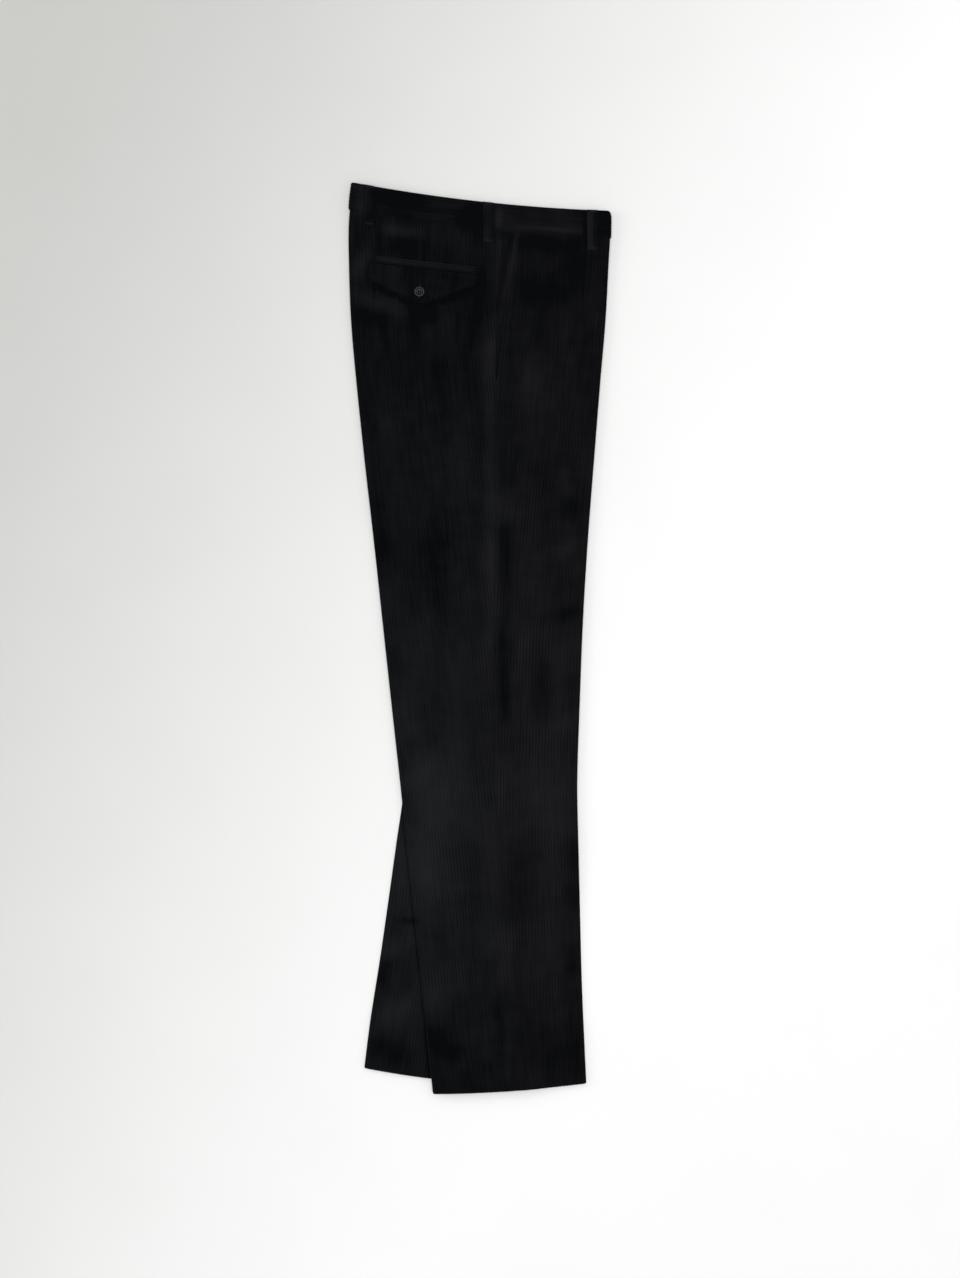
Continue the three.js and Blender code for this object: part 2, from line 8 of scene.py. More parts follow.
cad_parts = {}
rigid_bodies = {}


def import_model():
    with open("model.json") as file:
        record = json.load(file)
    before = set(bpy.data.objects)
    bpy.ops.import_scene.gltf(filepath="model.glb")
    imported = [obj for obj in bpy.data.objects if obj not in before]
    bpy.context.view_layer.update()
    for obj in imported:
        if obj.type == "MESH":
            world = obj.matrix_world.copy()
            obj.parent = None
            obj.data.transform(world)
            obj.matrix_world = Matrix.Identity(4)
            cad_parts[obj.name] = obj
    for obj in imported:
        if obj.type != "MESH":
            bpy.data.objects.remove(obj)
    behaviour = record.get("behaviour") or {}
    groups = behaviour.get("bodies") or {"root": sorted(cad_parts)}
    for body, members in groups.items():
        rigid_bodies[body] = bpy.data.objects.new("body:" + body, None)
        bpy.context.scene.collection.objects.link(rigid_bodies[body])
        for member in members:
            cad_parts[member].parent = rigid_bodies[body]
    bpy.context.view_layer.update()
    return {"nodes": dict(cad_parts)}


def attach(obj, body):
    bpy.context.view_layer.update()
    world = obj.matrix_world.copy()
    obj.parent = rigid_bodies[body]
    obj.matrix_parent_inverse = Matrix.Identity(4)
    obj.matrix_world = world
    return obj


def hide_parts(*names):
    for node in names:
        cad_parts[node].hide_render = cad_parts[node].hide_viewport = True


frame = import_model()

mm = 0.001
print("frame loaded:", len(frame["nodes"]), "nodes")

# Lengths in the tables are millimetres. x runs from the back fold to the front fold, y is the height above
# the right hem, and z is up off the surface. place() takes them to the frame, in metres.
lay = {"middleX": 0.36, "middleHeight": 546.16}


def place(x, y, z):
    x, y, z = np.broadcast_arrays(x, y, z)
    return np.stack([x - lay["middleX"], y - lay["middleHeight"], z], axis=-1) * mm


cloth = {
    "thickness": 1.5,
    "walePitch": 3.78,
    "waleHeight": 0.68,
    "waleSharpness": 0.55,     # lower is a flatter top with a narrower groove
    "samplesPerWale": 8,
    "foldGap": 0.3,
    "seamGap": 0.06,
    "loft": 1.3,
    "hemTurnUp": 74,
    "hemThickness": 2.6,
    "seamAllowance": 9,
    "plainSpacing": 13,
    "rowSpacing": {"right": 5.2, "left": 8.0},
    "panelLength": 1040,
    "underGroove": 0.5,
    "waleWander": 0.22,
    "seamTuck": 0.2,           # how far the upper cloth turns down at a seam
    "turnUpTone": -0.005,
}
waist = {
    "bandHeight": 33,
    "bandThickness": 3.0,
    "bandWales": 8,
    "bandRelief": 0.55,
    "bandLift": 2.25,
    "bandBlend": 60,
    "bandCorner": 5,
    "bandLine": 1057,
    "bandDip": 0.18,
    "bandRoll": 0.25,
}
crotch = {"fork": 800, "top": {"back": 912, "front": 880}, "inseamShare": 0.55, "seatSag": 0.6}
mouth = {"foot": 850, "slant": 20}

# The right leg as it lies: height, back fold, side seam, front fold
rightOutline = np.array([
    (0, -56, 43, 128.5), (63, -62.5, 39.5, 125.5), (135, -70, 35, 122.5), (231, -80.3, 30, 120),
    (303, -88, 23, 118.2), (375, -95.6, 18, 117), (471, -106.2, 17.4, 120), (567, -116.6, 18, 123.8),
    (663, -127, 18.6, 129.6), (759, -138, 19.2, 137), (855, -148, 19.8, 144.7), (927, -154.2, 20.4, 150.8),
    (999, -156.8, 21.6, 154.7), (1047, -156.6, 21.6, 157.3), (1090, -151.4, 21.6, 157.5),
])
# The left leg: height, back fold, front fold
leftOutline = np.array([
    (11, -140.8, 42), (87, -131.3, 53.5), (159, -120, 68.4), (231, -109.6, 83.6), (303, -99.6, 98.4),
    (345, -93.4, 105.5), (399, -86.6, 112), (471, -85.6, 116.6), (543, -92.4, 120), (639, -110.4, 126),
    (735, -129, 134.2), (807, -141.6, 140.3), (855, -148, 144.7), (927, -154.2, 150.8),
    (999, -156.8, 154.7), (1047, -156.6, 157.3), (1090, -151.4, 157.5),
])
outlineColumns = {
    ("right", "back"): (rightOutline, 1),
    ("right", "seam"): (rightOutline, 2),
    ("right", "front"): (rightOutline, 3),
    ("left", "back"): (leftOutline, 1),
    ("left", "front"): (leftOutline, 2),
}

# Soft folds of the right leg's upper wall: x, height, tilt from the leg's length, length, width, lift
rightFolds = [
    (-107, 1000, -56, 90, 16, 0.7), (-112, 940, -74, 80, 18, 0.5), (27, 500, 2, 150, 11, -0.8),
    (74, 470, 0, 120, 12, -0.6), (-52, 560, -5, 200, 14, 0.5), (66, 250, -6, 150, 13, -0.7),
    (-20, 270, -4, 160, 12, -0.6),
]
# Smaller creases on it, uneven as cloth is
rightCreases = [
    (-90, 1036, -104, 58, 7, 0.55), (-136, 1000, -42, 44, 7, 0.5), (-134, 960, -118, 46, 7, 0.5),
    (-137, 972, -112, 40, 4, -0.45), (4, 962, -11, 62, 3.6, -0.6), (-3, 905, 6, 70, 6, -0.35),
    (29, 842, -116, 34, 3.4, 0.4), (40, 834, -112, 30, 3.2, -0.4), (28, 506, 1, 110, 4.5, -0.55),
    (74, 474, -2, 48, 4, -0.6), (114, 717, 84, 34, 6, -0.5), (112, 621, 97, 30, 5, -0.45),
    (110, 570, 80, 38, 6, -0.5), (104, 483, 95, 44, 7, -0.55), (104, 389, 86, 36, 6, -0.5),
    (106, 281, 100, 34, 5, -0.45), (110, 218, 82, 28, 5, -0.45), (112, 149, 94, 30, 6, -0.5),
    (-80, 395, 78, 36, 7, 0.4), (-92, 520, 100, 30, 6, -0.4), (-118, 700, 84, 28, 6, -0.35),
    (-40, 430, 8, 120, 9, -0.35), (96, 640, -6, 140, 10, 0.35), (-66, 820, -8, 150, 12, 0.35),
    (70, 900, 4, 160, 12, 0.3), (-96, 860, 12, 110, 9, -0.3), (18, 120, 20, 60, 6, -0.35),
    (70, 110, -24, 56, 7, 0.35), (-36, 100, 14, 70, 7, 0.35),
]
leftCreases = [
    (-98, 209, -84, 46, 4, -0.45), (-112, 140, -70, 34, 4.5, -0.45), (-106, 250, -30, 70, 6, 0.35),
    (-92, 110, -16, 90, 7, -0.3), (-118, 82, 60, 30, 6, 0.25),
]
# Painted light (+) and painted shade (-) on the cloth: highlights, shade in creases and troughs, and shadows
# under edges, with some tone of the pile's nap: x, height, tilt, length, width, tone
napAndPaintedLight = [
    # seat and waistband
    (-142, 1070, 0, 50, 8, 0.3), (-94, 1074, -97, 70, 9, -0.34), (-10, 1047, -80, 50, 15, -0.32),
    (-46, 1058, -97, 150, 15, -0.12), (23, 1049, 0, 30, 3.5, 0.45), (80, 1044, -95, 190, 11, 0.1),
    (78, 1036, -94, 120, 3.5, 0.34), (70, 1020, -94, 70, 7, -0.4), (152, 1045, 0, 50, 9, -0.3),
    (126.5, 1038, 0, 60, 2, -0.5), (-92, 1034, -97, 62, 6, 0.5), (-140, 998, -30, 60, 9, 0.4),
    (-124, 948, -108, 90, 9, 0.28), (-110, 1014, -80, 70, 8, -0.26), (-128, 930, -100, 60, 10, -0.2),
    (-66.5, 1008, 0, 34, 1.8, -0.4), (0, 990, 90, 420, 60, -0.05),
    # round the hip pocket: painted shadows under the flap's edges and below its tip
    (-104, 957.5, 65, 68, 3, -0.5), (-36, 953.5, -71, 72, 3, -0.5), (-66, 935, -90, 44, 10, -0.34),
    (1, 957, -7, 74, 4, -0.5),
    # pocket mouth and the top of the side seam
    (38, 997, -10, 96, 4, 0.42), (22, 991, -3, 90, 3.5, 0.36), (23, 925, -14, 96, 7, 0.26),
    (10, 872, -8, 70, 8, 0.06), (72, 960, -90, 74, 20, -0.32), (112, 1000, 10, 60, 14, -0.12),
    (-50, 900, 12, 120, 30, -0.07), (-10, 905, -10, 90, 10, -0.12), (62, 856, -14, 110, 18, 0.16),
    (-142, 900, -4, 220, 9, -0.08), (116, 880, 4, 160, 16, 0.06),
    # thigh
    (14, 735, 1, 470, 8, 0.3), (78, 480, 2, 1200, 42, 0.12), (10, 590, 1, 200, 10, 0.28),
    (-26, 740, 0, 120, 20, 0.16), (-60, 622, -14, 130, 34, -0.15), (-118, 648, 0, 60, 14, -0.2),
    (36, 742, 0, 50, 10, -0.14), (28, 703, 30, 50, 14, 0.28), (108, 701, -20, 36, 12, -0.24),
    (104, 735, 0, 40, 8, 0.2), (104, 652, -60, 40, 8, 0.2), (106, 574, -70, 44, 10, -0.3),
    (30, 640, 2, 110, 9, -0.2),
    # knee
    (28, 505, 2, 150, 8, -0.4), (76, 482, -6, 90, 14, -0.32), (108, 484, 0, 60, 10, -0.24),
    (94, 436, -60, 70, 14, 0.12), (-80, 500, -10, 160, 20, 0.16), (-30, 470, -6, 170, 18, 0.12),
    (64, 545, -60, 60, 12, 0.12), (-124, 580, 0, 40, 9, 0.12), (-72, 384, -40, 70, 16, 0.25),
    # shin
    (-56, 312, -8, 230, 30, 0.46), (70, 350, 4, 130, 22, 0.06), (26, 370, 0, 70, 7, 0.22),
    (54, 256, 4, 120, 17, -0.32), (113, 286, -10, 54, 10, -0.28), (112, 235, 10, 44, 10, -0.26),
    (111, 163, 0, 50, 9, -0.26), (32, 160, -4, 90, 9, 0.3), (-44, 130, -40, 90, 22, 0.34),
    (-10, 300, 0, 190, 26, 0.06), (-4, 262, 0, 120, 10, -0.18), (26, 190, -40, 60, 14, 0.16),
    (0, 245, 0, 330, 90, 0.05),
    # hems
    (-44, 60, 50, 64, 13, -0.36), (90, 48, -84, 110, 28, -0.12), (35, 60, -2, 110, 6, 0.26),
    (-88, 207, -84, 40, 4, -0.34), (-94, 179, -50, 56, 12, 0.22), (-102, 98, -60, 60, 14, 0.42),
    (-115, 146, -20, 44, 9, -0.4), (-112, 52, 76, 70, 15, -0.3), (-96, 236, -20, 50, 10, 0.12),
]
sideSeamPress = {"halfWidth": 17, "shoulder": 3.2, "lift": 0.75, "ditch": 0.12, "ditchWidth": 1.3}
hemPress = {"width": 5, "lift": 0.35}
hipDart = {"x": -66.5, "low": 994, "run": 6, "width": 1.3, "depth": 0.7}
# How far in from its folds the right leg's upper wall takes each shape, and where its loft ends
upperWall = {
    "foldsFrom": (5, 24), "creasesFrom": (1, 9), "sagFrom": (8, 34), "loftEnds": (730, 800),
    "slowUneven": 0.22, "fineUneven": 0.1,
}
# How the right leg comes down off the left one, and the left leg's wall where it shows
settle = {"hemStackEnds": (118, 150), "room": (12, 40), "inFront": (18, 50), "clearance": 0.3}
leftWall = {
    "clearOfRight": (1, 12), "fromFold": (1, 8), "loft": 0.45, "uneven": 0.16,
    "lighter": 0.16, "edgeShadow": 0.55, "edgeWidth": 2.6,
}


def bow(points):
    # a curve through three points
    a, b, c = points
    first = (b[1] - a[1]) / (b[0] - a[0])
    second = ((c[1] - b[1]) / (c[0] - b[0]) - first) / (c[0] - a[0])
    return lambda x: a[1] + first * (x - a[0]) + second * (x - a[0]) * (x - b[0])


waistEdge = bow([(-145, 1090.6), (6, 1068.6), (150, 1058.2)])
hemEdge = {
    "right": bow([(-51.6, 0.3), (36, 3.8), (126, 12.1)]),
    "left": bow([(-136.8, 30.5), (-58.8, 18.2), (42, 11.3)]),
}


def ease(x, low, high):
    t = np.clip((x - low) / (high - low), 0, 1)
    return t * t * (3 - 2 * t)


def mix(a, b, t):
    return a + (b - a) * t


def edgeX(leg, name, y):
    # a smooth curve through one column of an outline
    table, column = outlineColumns[(leg, name)]
    heights, values = table[:, 0], table[:, column]
    slopes = np.gradient(values, heights)
    slopes[1:-1] = (values[2:] - values[:-2]) / (heights[2:] - heights[:-2])
    i = np.clip(np.searchsorted(heights, y, side="right") - 1, 0, len(heights) - 2)
    span = heights[i + 1] - heights[i]
    t = (y - heights[i]) / span
    s = 1 - t
    inside = values[i] * s * s * (1 + 2 * t) + values[i + 1] * t * t * (1 + 2 * s)
    inside = inside + span * t * s * (slopes[i] * s - slopes[i + 1] * t)
    below = values[i] + slopes[i] * t * span
    above = values[i + 1] + slopes[i + 1] * (t - 1) * span
    return np.where(t < 0, below, np.where(t > 1, above, inside))


def bandSeam(x):
    return waistEdge(x) - waist["bandHeight"]


def inseamX(leg, y):
    return mix(edgeX(leg, "back", y), edgeX(leg, "front", y), crotch["inseamShare"])


def sideSeamX(leg, y):
    return edgeX("right", "seam", y) if leg == "right" else inseamX("left", y)


def pocketMouthX(y):
    seam = sideSeamX("right", y)
    share = (y - mouth["foot"]) / (bandSeam(seam) - mouth["foot"])
    return seam + mouth["slant"] * np.maximum(0, share)


def outerReach(leg, half, y):
    end = pocketMouthX(y) if (leg, half) == ("right", "front") else sideSeamX(leg, y)
    return np.abs(end - edgeX(leg, half, y)) - cloth["seamGap"] / 2


def innerReach(leg, half, y):
    whole = np.abs(inseamX(leg, y) - edgeX(leg, half, y)) - cloth["seamGap"] / 2
    top = crotch["top"][half]
    t = np.clip((top - y) / (top - crotch["fork"]), 0, 1)
    return mix(cloth["seamAllowance"], whole, 1 - np.sqrt(1 - t * t))


def wallAt(leg, x, y):
    turnUp = cloth["hemTurnUp"]
    return mix(cloth["hemThickness"], cloth["thickness"], ease(y - hemEdge[leg](x), turnUp - 4, turnUp + 4))


def foldRadius(leg, x, y):
    return (wallAt(leg, x, y) + cloth["foldGap"]) / 2


def towardsBand(x, y):
    return ease(y, bandSeam(x) - waist["bandBlend"], bandSeam(x))


def underRight(x, y):
    # what the right leg lies on: the left leg, and the surface in front of the left leg's fold
    hemStack = 2 * cloth["hemThickness"] + cloth["foldGap"]
    legStack = 2 * cloth["thickness"] + cloth["foldGap"]
    stack = mix(hemStack, legStack, ease(y, *settle["hemStackEnds"]))
    room = edgeX("right", "front", y) - edgeX("left", "front", y)
    down = ease(room, *settle["room"]) * ease(x - edgeX("left", "front", y), *settle["inFront"])
    return (stack + settle["clearance"]) * (1 - down)


def folded(table, x, y):
    total = 0
    for foldX, foldY, tilt, length, width, lift in table:
        turn = math.radians(tilt)
        dx, dy = x - foldX, y - foldY
        along = dy * math.cos(turn) - dx * math.sin(turn)
        across = dx * math.cos(turn) + dy * math.sin(turn)
        fade = 1 - ease(np.abs(along), length * 0.2, length * 0.55)
        total = total + lift * fade * np.exp(-(across / width) ** 2)
    return total


def wander(x, y, size, seed):
    # a slow, even unevenness between -1 and 1
    steps = np.random.default_rng(seed)
    total = 0
    for _ in range(7):
        angle, phase = steps.uniform(0, math.tau, 2)
        wave = math.tau / (size * steps.uniform(0.7, 1.6))
        total = total + np.sin(wave * (x * math.cos(angle) + 0.45 * y * math.sin(angle)) + phase)
    return total / 3.2


# the cloth's tone: painted light and shade from the patch table, with some nap tone, a little painted shade
# below the turn-up's top edge, and a slow uneven tone
def toneWithPaintedLight(x, y):
    above = y - hemEdge["right"](x)
    turnUp = cloth["turnUpTone"] * (1 - ease(above, cloth["hemTurnUp"] - 8, cloth["hemTurnUp"] + 10))
    uneven = 0.08 * wander(x, y, 46, 61) + 0.05 * wander(x, 2.4 * y, 20, 62)
    return folded(napAndPaintedLight, x, y) + turnUp + uneven


def rise(x, y):
    fromBack = x - edgeX("right", "back", y)
    fromFront = edgeX("right", "front", y) - x
    fromEdge = np.minimum(fromBack, fromFront)
    free = np.minimum(fromBack - innerReach("right", "back", y), fromFront - innerReach("right", "front", y))
    loft = cloth["loft"] * (1 - ease(y, *upperWall["loftEnds"]))
    fromSeam = np.abs(x - sideSeamX("right", y))
    press = sideSeamPress
    shoulder = ease(fromSeam, press["halfWidth"] - press["shoulder"], press["halfWidth"] + press["shoulder"])
    seam = press["lift"] * (1 - shoulder)
    seam = seam - press["ditch"] * np.exp(-(fromSeam / press["ditchWidth"]) ** 2)
    uneven = upperWall["slowUneven"] * wander(x, y, 70, 3) + upperWall["fineUneven"] * wander(x, y, 26, 8)
    aboveTurnUp = y - hemEdge["right"](x) - cloth["hemTurnUp"]
    hem = hemPress["lift"] * np.exp(-(aboveTurnUp / hemPress["width"]) ** 2)
    dart = hipDart["depth"] * np.exp(-((x - hipDart["x"]) / hipDart["width"]) ** 2)
    dart = dart * ease(y, hipDart["low"], hipDart["low"] + hipDart["run"])
    shape = folded(rightFolds, x, y) + seam + uneven + hem - dart
    relief = loft + (1 - towardsBand(x, y)) * shape
    sag = crotch["seatSag"] * ease(free, *upperWall["sagFrom"])
    creased = ease(fromEdge, *upperWall["creasesFrom"]) * (1 - towardsBand(x, y)) * folded(rightCreases, x, y)
    return ease(fromEdge, *upperWall["foldsFrom"]) * relief - sag + creased


def outerMid(leg, x, y):
    wall = wallAt(leg, x, y)
    lift = waist["bandLift"] * towardsBand(x, y)
    if leg == "left":
        return wall / 2 + lift
    return underRight(x, y) + wall / 2 + lift + 2 * foldRadius(leg, x, y) + rise(x, y)


def innerMid(leg, x, y):
    wall = wallAt(leg, x, y)
    lift = waist["bandLift"] * towardsBand(x, y)
    if leg == "right":
        return underRight(x, y) + wall / 2 + lift
    clear = ease(edgeX("right", "back", y) - x, *leftWall["clearOfRight"])
    showing = clear * ease(x - edgeX("left", "back", y), *leftWall["fromFold"])
    creased = folded(leftCreases, x, y) + leftWall["loft"] + leftWall["uneven"] * wander(x, y, 44, 5)
    return wall / 2 + lift + 2 * foldRadius(leg, x, y) + showing * creased


def waleProfile(phase):
    return np.abs(np.sin(math.pi * phase)) ** cloth["waleSharpness"]


upward = {"right": 1, "left": -1}
inwards = {"back": 1, "front": -1}


# Materials
class Field:
    # wraps a shader socket, so that maths on it reads as maths
    def __init__(self, finish, socket):
        self.finish, self.socket = finish, socket

    def maths(self, operation, *values):
        return self.finish.node("ShaderNodeMath", {"operation": operation}, values)

    def __add__(self, other):
        return self.maths("ADD", self, other)

    def __radd__(self, other):
        return self.maths("ADD", other, self)

    def __sub__(self, other):
        return self.maths("SUBTRACT", self, other)

    def __rsub__(self, other):
        return self.maths("SUBTRACT", other, self)

    def __mul__(self, other):
        return self.maths("MULTIPLY", self, other)

    def __rmul__(self, other):
        return self.maths("MULTIPLY", other, self)


class Finish:
    def __init__(self, name):
        self.material = bpy.data.materials.new(name)
        self.material.use_nodes = True
        self.tree = self.material.node_tree
        self.shader = self.tree.nodes["Principled BSDF"]

    def node(self, kind, settings=None, values=(), output=0):
        made = self.tree.nodes.new(kind)
        for key, value in (settings or {}).items():
            setattr(made, key, value)
        pairs = values.items() if isinstance(values, dict) else enumerate(values)
        for key, value in pairs:
            self.feed(made.inputs[key], value)
        return Field(self, made.outputs[output])

    def feed(self, target, value):
        if isinstance(value, Field):
            self.tree.links.new(value.socket, target)
        else:
            target.default_value = value

    def set(self, **values):
        for name, value in values.items():
            self.feed(self.shader.inputs[name.replace("_", " ")], value)

    def place(self):
        return self.node("ShaderNodeTexCoord", output="Object")

    def clothPlace(self):
        return self.node("ShaderNodeUVMap", {"uv_map": "cloth"})

    def attribute(self, name):
        return self.node("ShaderNodeAttribute", {"attribute_name": name}, output="Fac")

    def stretched(self, vector, scale):
        return self.node("ShaderNodeVectorMath", {"operation": "MULTIPLY"}, (vector, scale))

    def noise(self, vector, scale, detail, roughness):
        values = {"Vector": vector, "Scale": scale, "Detail": detail, "Roughness": roughness}
        return self.node("ShaderNodeTexNoise", None, values)

    def axis(self, vector, name):
        return self.node("ShaderNodeSeparateXYZ", None, (vector,), output=name)

    def blend(self, share, a, b):
        # a Mix node's colours are its inputs 6 and 7, and come out of its output 2
        return self.node("ShaderNodeMix", {"data_type": "RGBA"}, {0: share, 6: a, 7: b}, output=2)

    def bump(self, strength, distance, height):
        values = {"Strength": strength, "Distance": distance, "Height": height}
        self.set(Normal=self.node("ShaderNodeBump", None, values))

    def between(self, value, low, high):
        settings = {"interpolation_type": "SMOOTHSTEP"}
        return self.node("ShaderNodeMapRange", settings, {"Value": value, "From Min": low, "From Max": high})


corduroyLook = {
    # the groove colour is painted shade for the hollows between the wales
    "groove": (0.0014, 0.0016, 0.0018, 1),
    "dark": (0.0018, 0.0022, 0.0025, 1),
    "light": (0.0131, 0.0140, 0.0160, 1),
    "frontLight": (0.0138, 0.0127, 0.0150, 1),
    "frontFrom": (-0.03, 0.08),      # where the front's hue comes in, in metres
    "middle": 0.285,           # how light the pile is where no painted light, painted shade or nap tone moves it either way
    "mostLit": 1.2,
    "toneReach": 0.95,
    "patchReach": 0.36,
    "streakReach": 0.5,
    "kneeReach": 0.26,
    "pileReach": 0.16,
    "kneeRises": (-0.56, -0.2),
    "kneeFalls": (-0.2, 0.26),
    "pileGrain": (3600, 900, 1),     # across and along the cloth
    "streakGrain": (265, 18, 1),
    "roughness": 0.9,
    "sheen": 0.09,
    "sheenRoughness": 0.42,
    "sheenTint": (0.7, 0.75, 0.85, 1),
    "specular": 0.015,
    "pileDepth": 0.00022,
}


def corduroyFinish():
    look = corduroyLook
    finish = Finish("corduroy")
    where = finish.place()
    wale = finish.attribute("wale")
    tone = finish.attribute("tone")
    pile = finish.noise(finish.stretched(finish.clothPlace(), look["pileGrain"]), 1, 3, 0.6)
    streak = finish.noise(finish.stretched(finish.clothPlace(), look["streakGrain"]), 1, 2, 0.6)
    patches = finish.noise(where, 14, 3, 0.55)
    grooveShadeAmount = finish.between(finish.noise(where, 21, 2, 0.5), 0.38, 0.66)
    towardsFront = finish.axis(where, "X") + (patches - 0.5) * 0.12
    light = finish.blend(finish.between(towardsFront, *look["frontFrom"]), look["light"], look["frontLight"])
    height = finish.axis(where, "Y")
    knee = finish.between(height, *look["kneeRises"]) * (1 - finish.between(height, *look["kneeFalls"]))
    share = look["middle"] + tone * look["toneReach"]
    share = share + (patches - 0.5) * look["patchReach"] + (streak - 0.5) * look["streakReach"]
    share = share + (knee - 0.4) * look["kneeReach"] + (pile - 0.5) * look["pileReach"]
    lit = share.maths("MINIMUM", share.maths("MAXIMUM", share, 0.0), look["mostLit"])
    # painted shade in the grooves between the wales, and on rims and side walls with a low wale mark; a noise
    # sets how deep it is
    grooveShade = (1 - finish.between(wale, 0.1, 0.9)) * (0.14 + 0.56 * grooveShadeAmount)
    finish.set(
        Base_Color=finish.blend(grooveShade, finish.blend(lit, look["dark"], light), look["groove"]),
        Roughness=look["roughness"] - 0.1 * patches,
        Sheen_Weight=look["sheen"],
        Sheen_Roughness=look["sheenRoughness"],
        Sheen_Tint=look["sheenTint"],
        Specular_IOR_Level=look["specular"],
    )
    finish.bump(0.6, look["pileDepth"], pile)
    return finish.material


threadLook = {
    "dark": (0.004, 0.0042, 0.005, 1),
    "light": (0.015, 0.0155, 0.0175, 1),
    "twist": 5200,
    "roughness": 0.62,
    "specular": 0.15,
}


def threadFinish():
    look = threadLook
    finish = Finish("thread")
    twist = finish.noise(finish.place(), look["twist"], 2, 0.5)
    finish.set(
        Base_Color=finish.blend(twist, look["dark"], look["light"]),
        Roughness=look["roughness"] + 0.2 * twist,
        Specular_IOR_Level=look["specular"],
    )
    finish.bump(0.4, 0.0001, twist)
    return finish.material


hornLook = {
    "dark": (0.0016, 0.0016, 0.0018, 1),
    "light": (0.007, 0.007, 0.0068, 1),
    "swirl": 240,
    "roughness": 0.24,
    "specular": 0.09,
    "coat": 0.05,
    "coatRoughness": 0.1,
}


def hornFinish():
    look = hornLook
    finish = Finish("button")
    swirl = finish.noise(finish.stretched(finish.place(), (1, 3, 1)), look["swirl"], 4, 0.6)
    finish.set(
        Base_Color=finish.blend(swirl, look["dark"], look["light"]),
        Roughness=look["roughness"] + 0.16 * swirl,
        Specular_IOR_Level=look["specular"],
        Coat_Weight=look["coat"],
        Coat_Roughness=look["coatRoughness"],
    )
    return finish.material


# a painted surface, a little whiter to the right and below than at the upper left: painted light, the
# fall-off of the studio's light put into the floor's colour
floorLook = {
    "upperLeft": (0.525, 0.53, 0.508, 1),
    "lowerRight": (0.945, 0.945, 0.943, 1),
    "slope": (-0.98, 0.38),
    "roughness": 0.8,
}


def floorFinish():
    look = floorLook
    finish = Finish("paleFloor")
    where = finish.place()
    grain = finish.noise(where, 7, 4, 0.5)
    slope = finish.between(finish.axis(where, "X") - 0.5 * finish.axis(where, "Y"), *look["slope"])
    finish.set(
        Base_Color=finish.blend(slope + (grain - 0.5) * 0.1, look["upperLeft"], look["lowerRight"]),
        Roughness=look["roughness"] + 0.1 * grain,
    )
    return finish.material


corduroy = corduroyFinish()
thread = threadFinish()
horn = hornFinish()
print("finishes made")


# Meshes
def linked(name, data):
    made = bpy.data.objects.new(name, data)
    bpy.context.scene.collection.objects.link(made)
    return made


def clothUv(across, along):
    return np.stack(np.broadcast_arrays(across * mm, along * mm), axis=-1)


def clothMesh(name, points, faces, uv, marks):
    mesh = bpy.data.meshes.new(name)
    mesh.from_pydata(points, [], faces)
    mesh.polygons.foreach_set("use_smooth", np.ones(len(mesh.polygons), dtype=bool))
    corner = np.empty(len(mesh.loops), dtype=np.int32)
    mesh.loops.foreach_get("vertex_index", corner)
    layer = mesh.uv_layers.new(name="cloth")
    layer.data.foreach_set("uv", uv[corner].astype(np.float32).ravel())
    for mark, values in marks.items():
        layer = mesh.attributes.new(mark, "FLOAT", "POINT")
        layer.data.foreach_set("value", values.astype(np.float32))
    mesh.materials.append(corduroy)
    mesh.update()
    return linked(name, mesh)


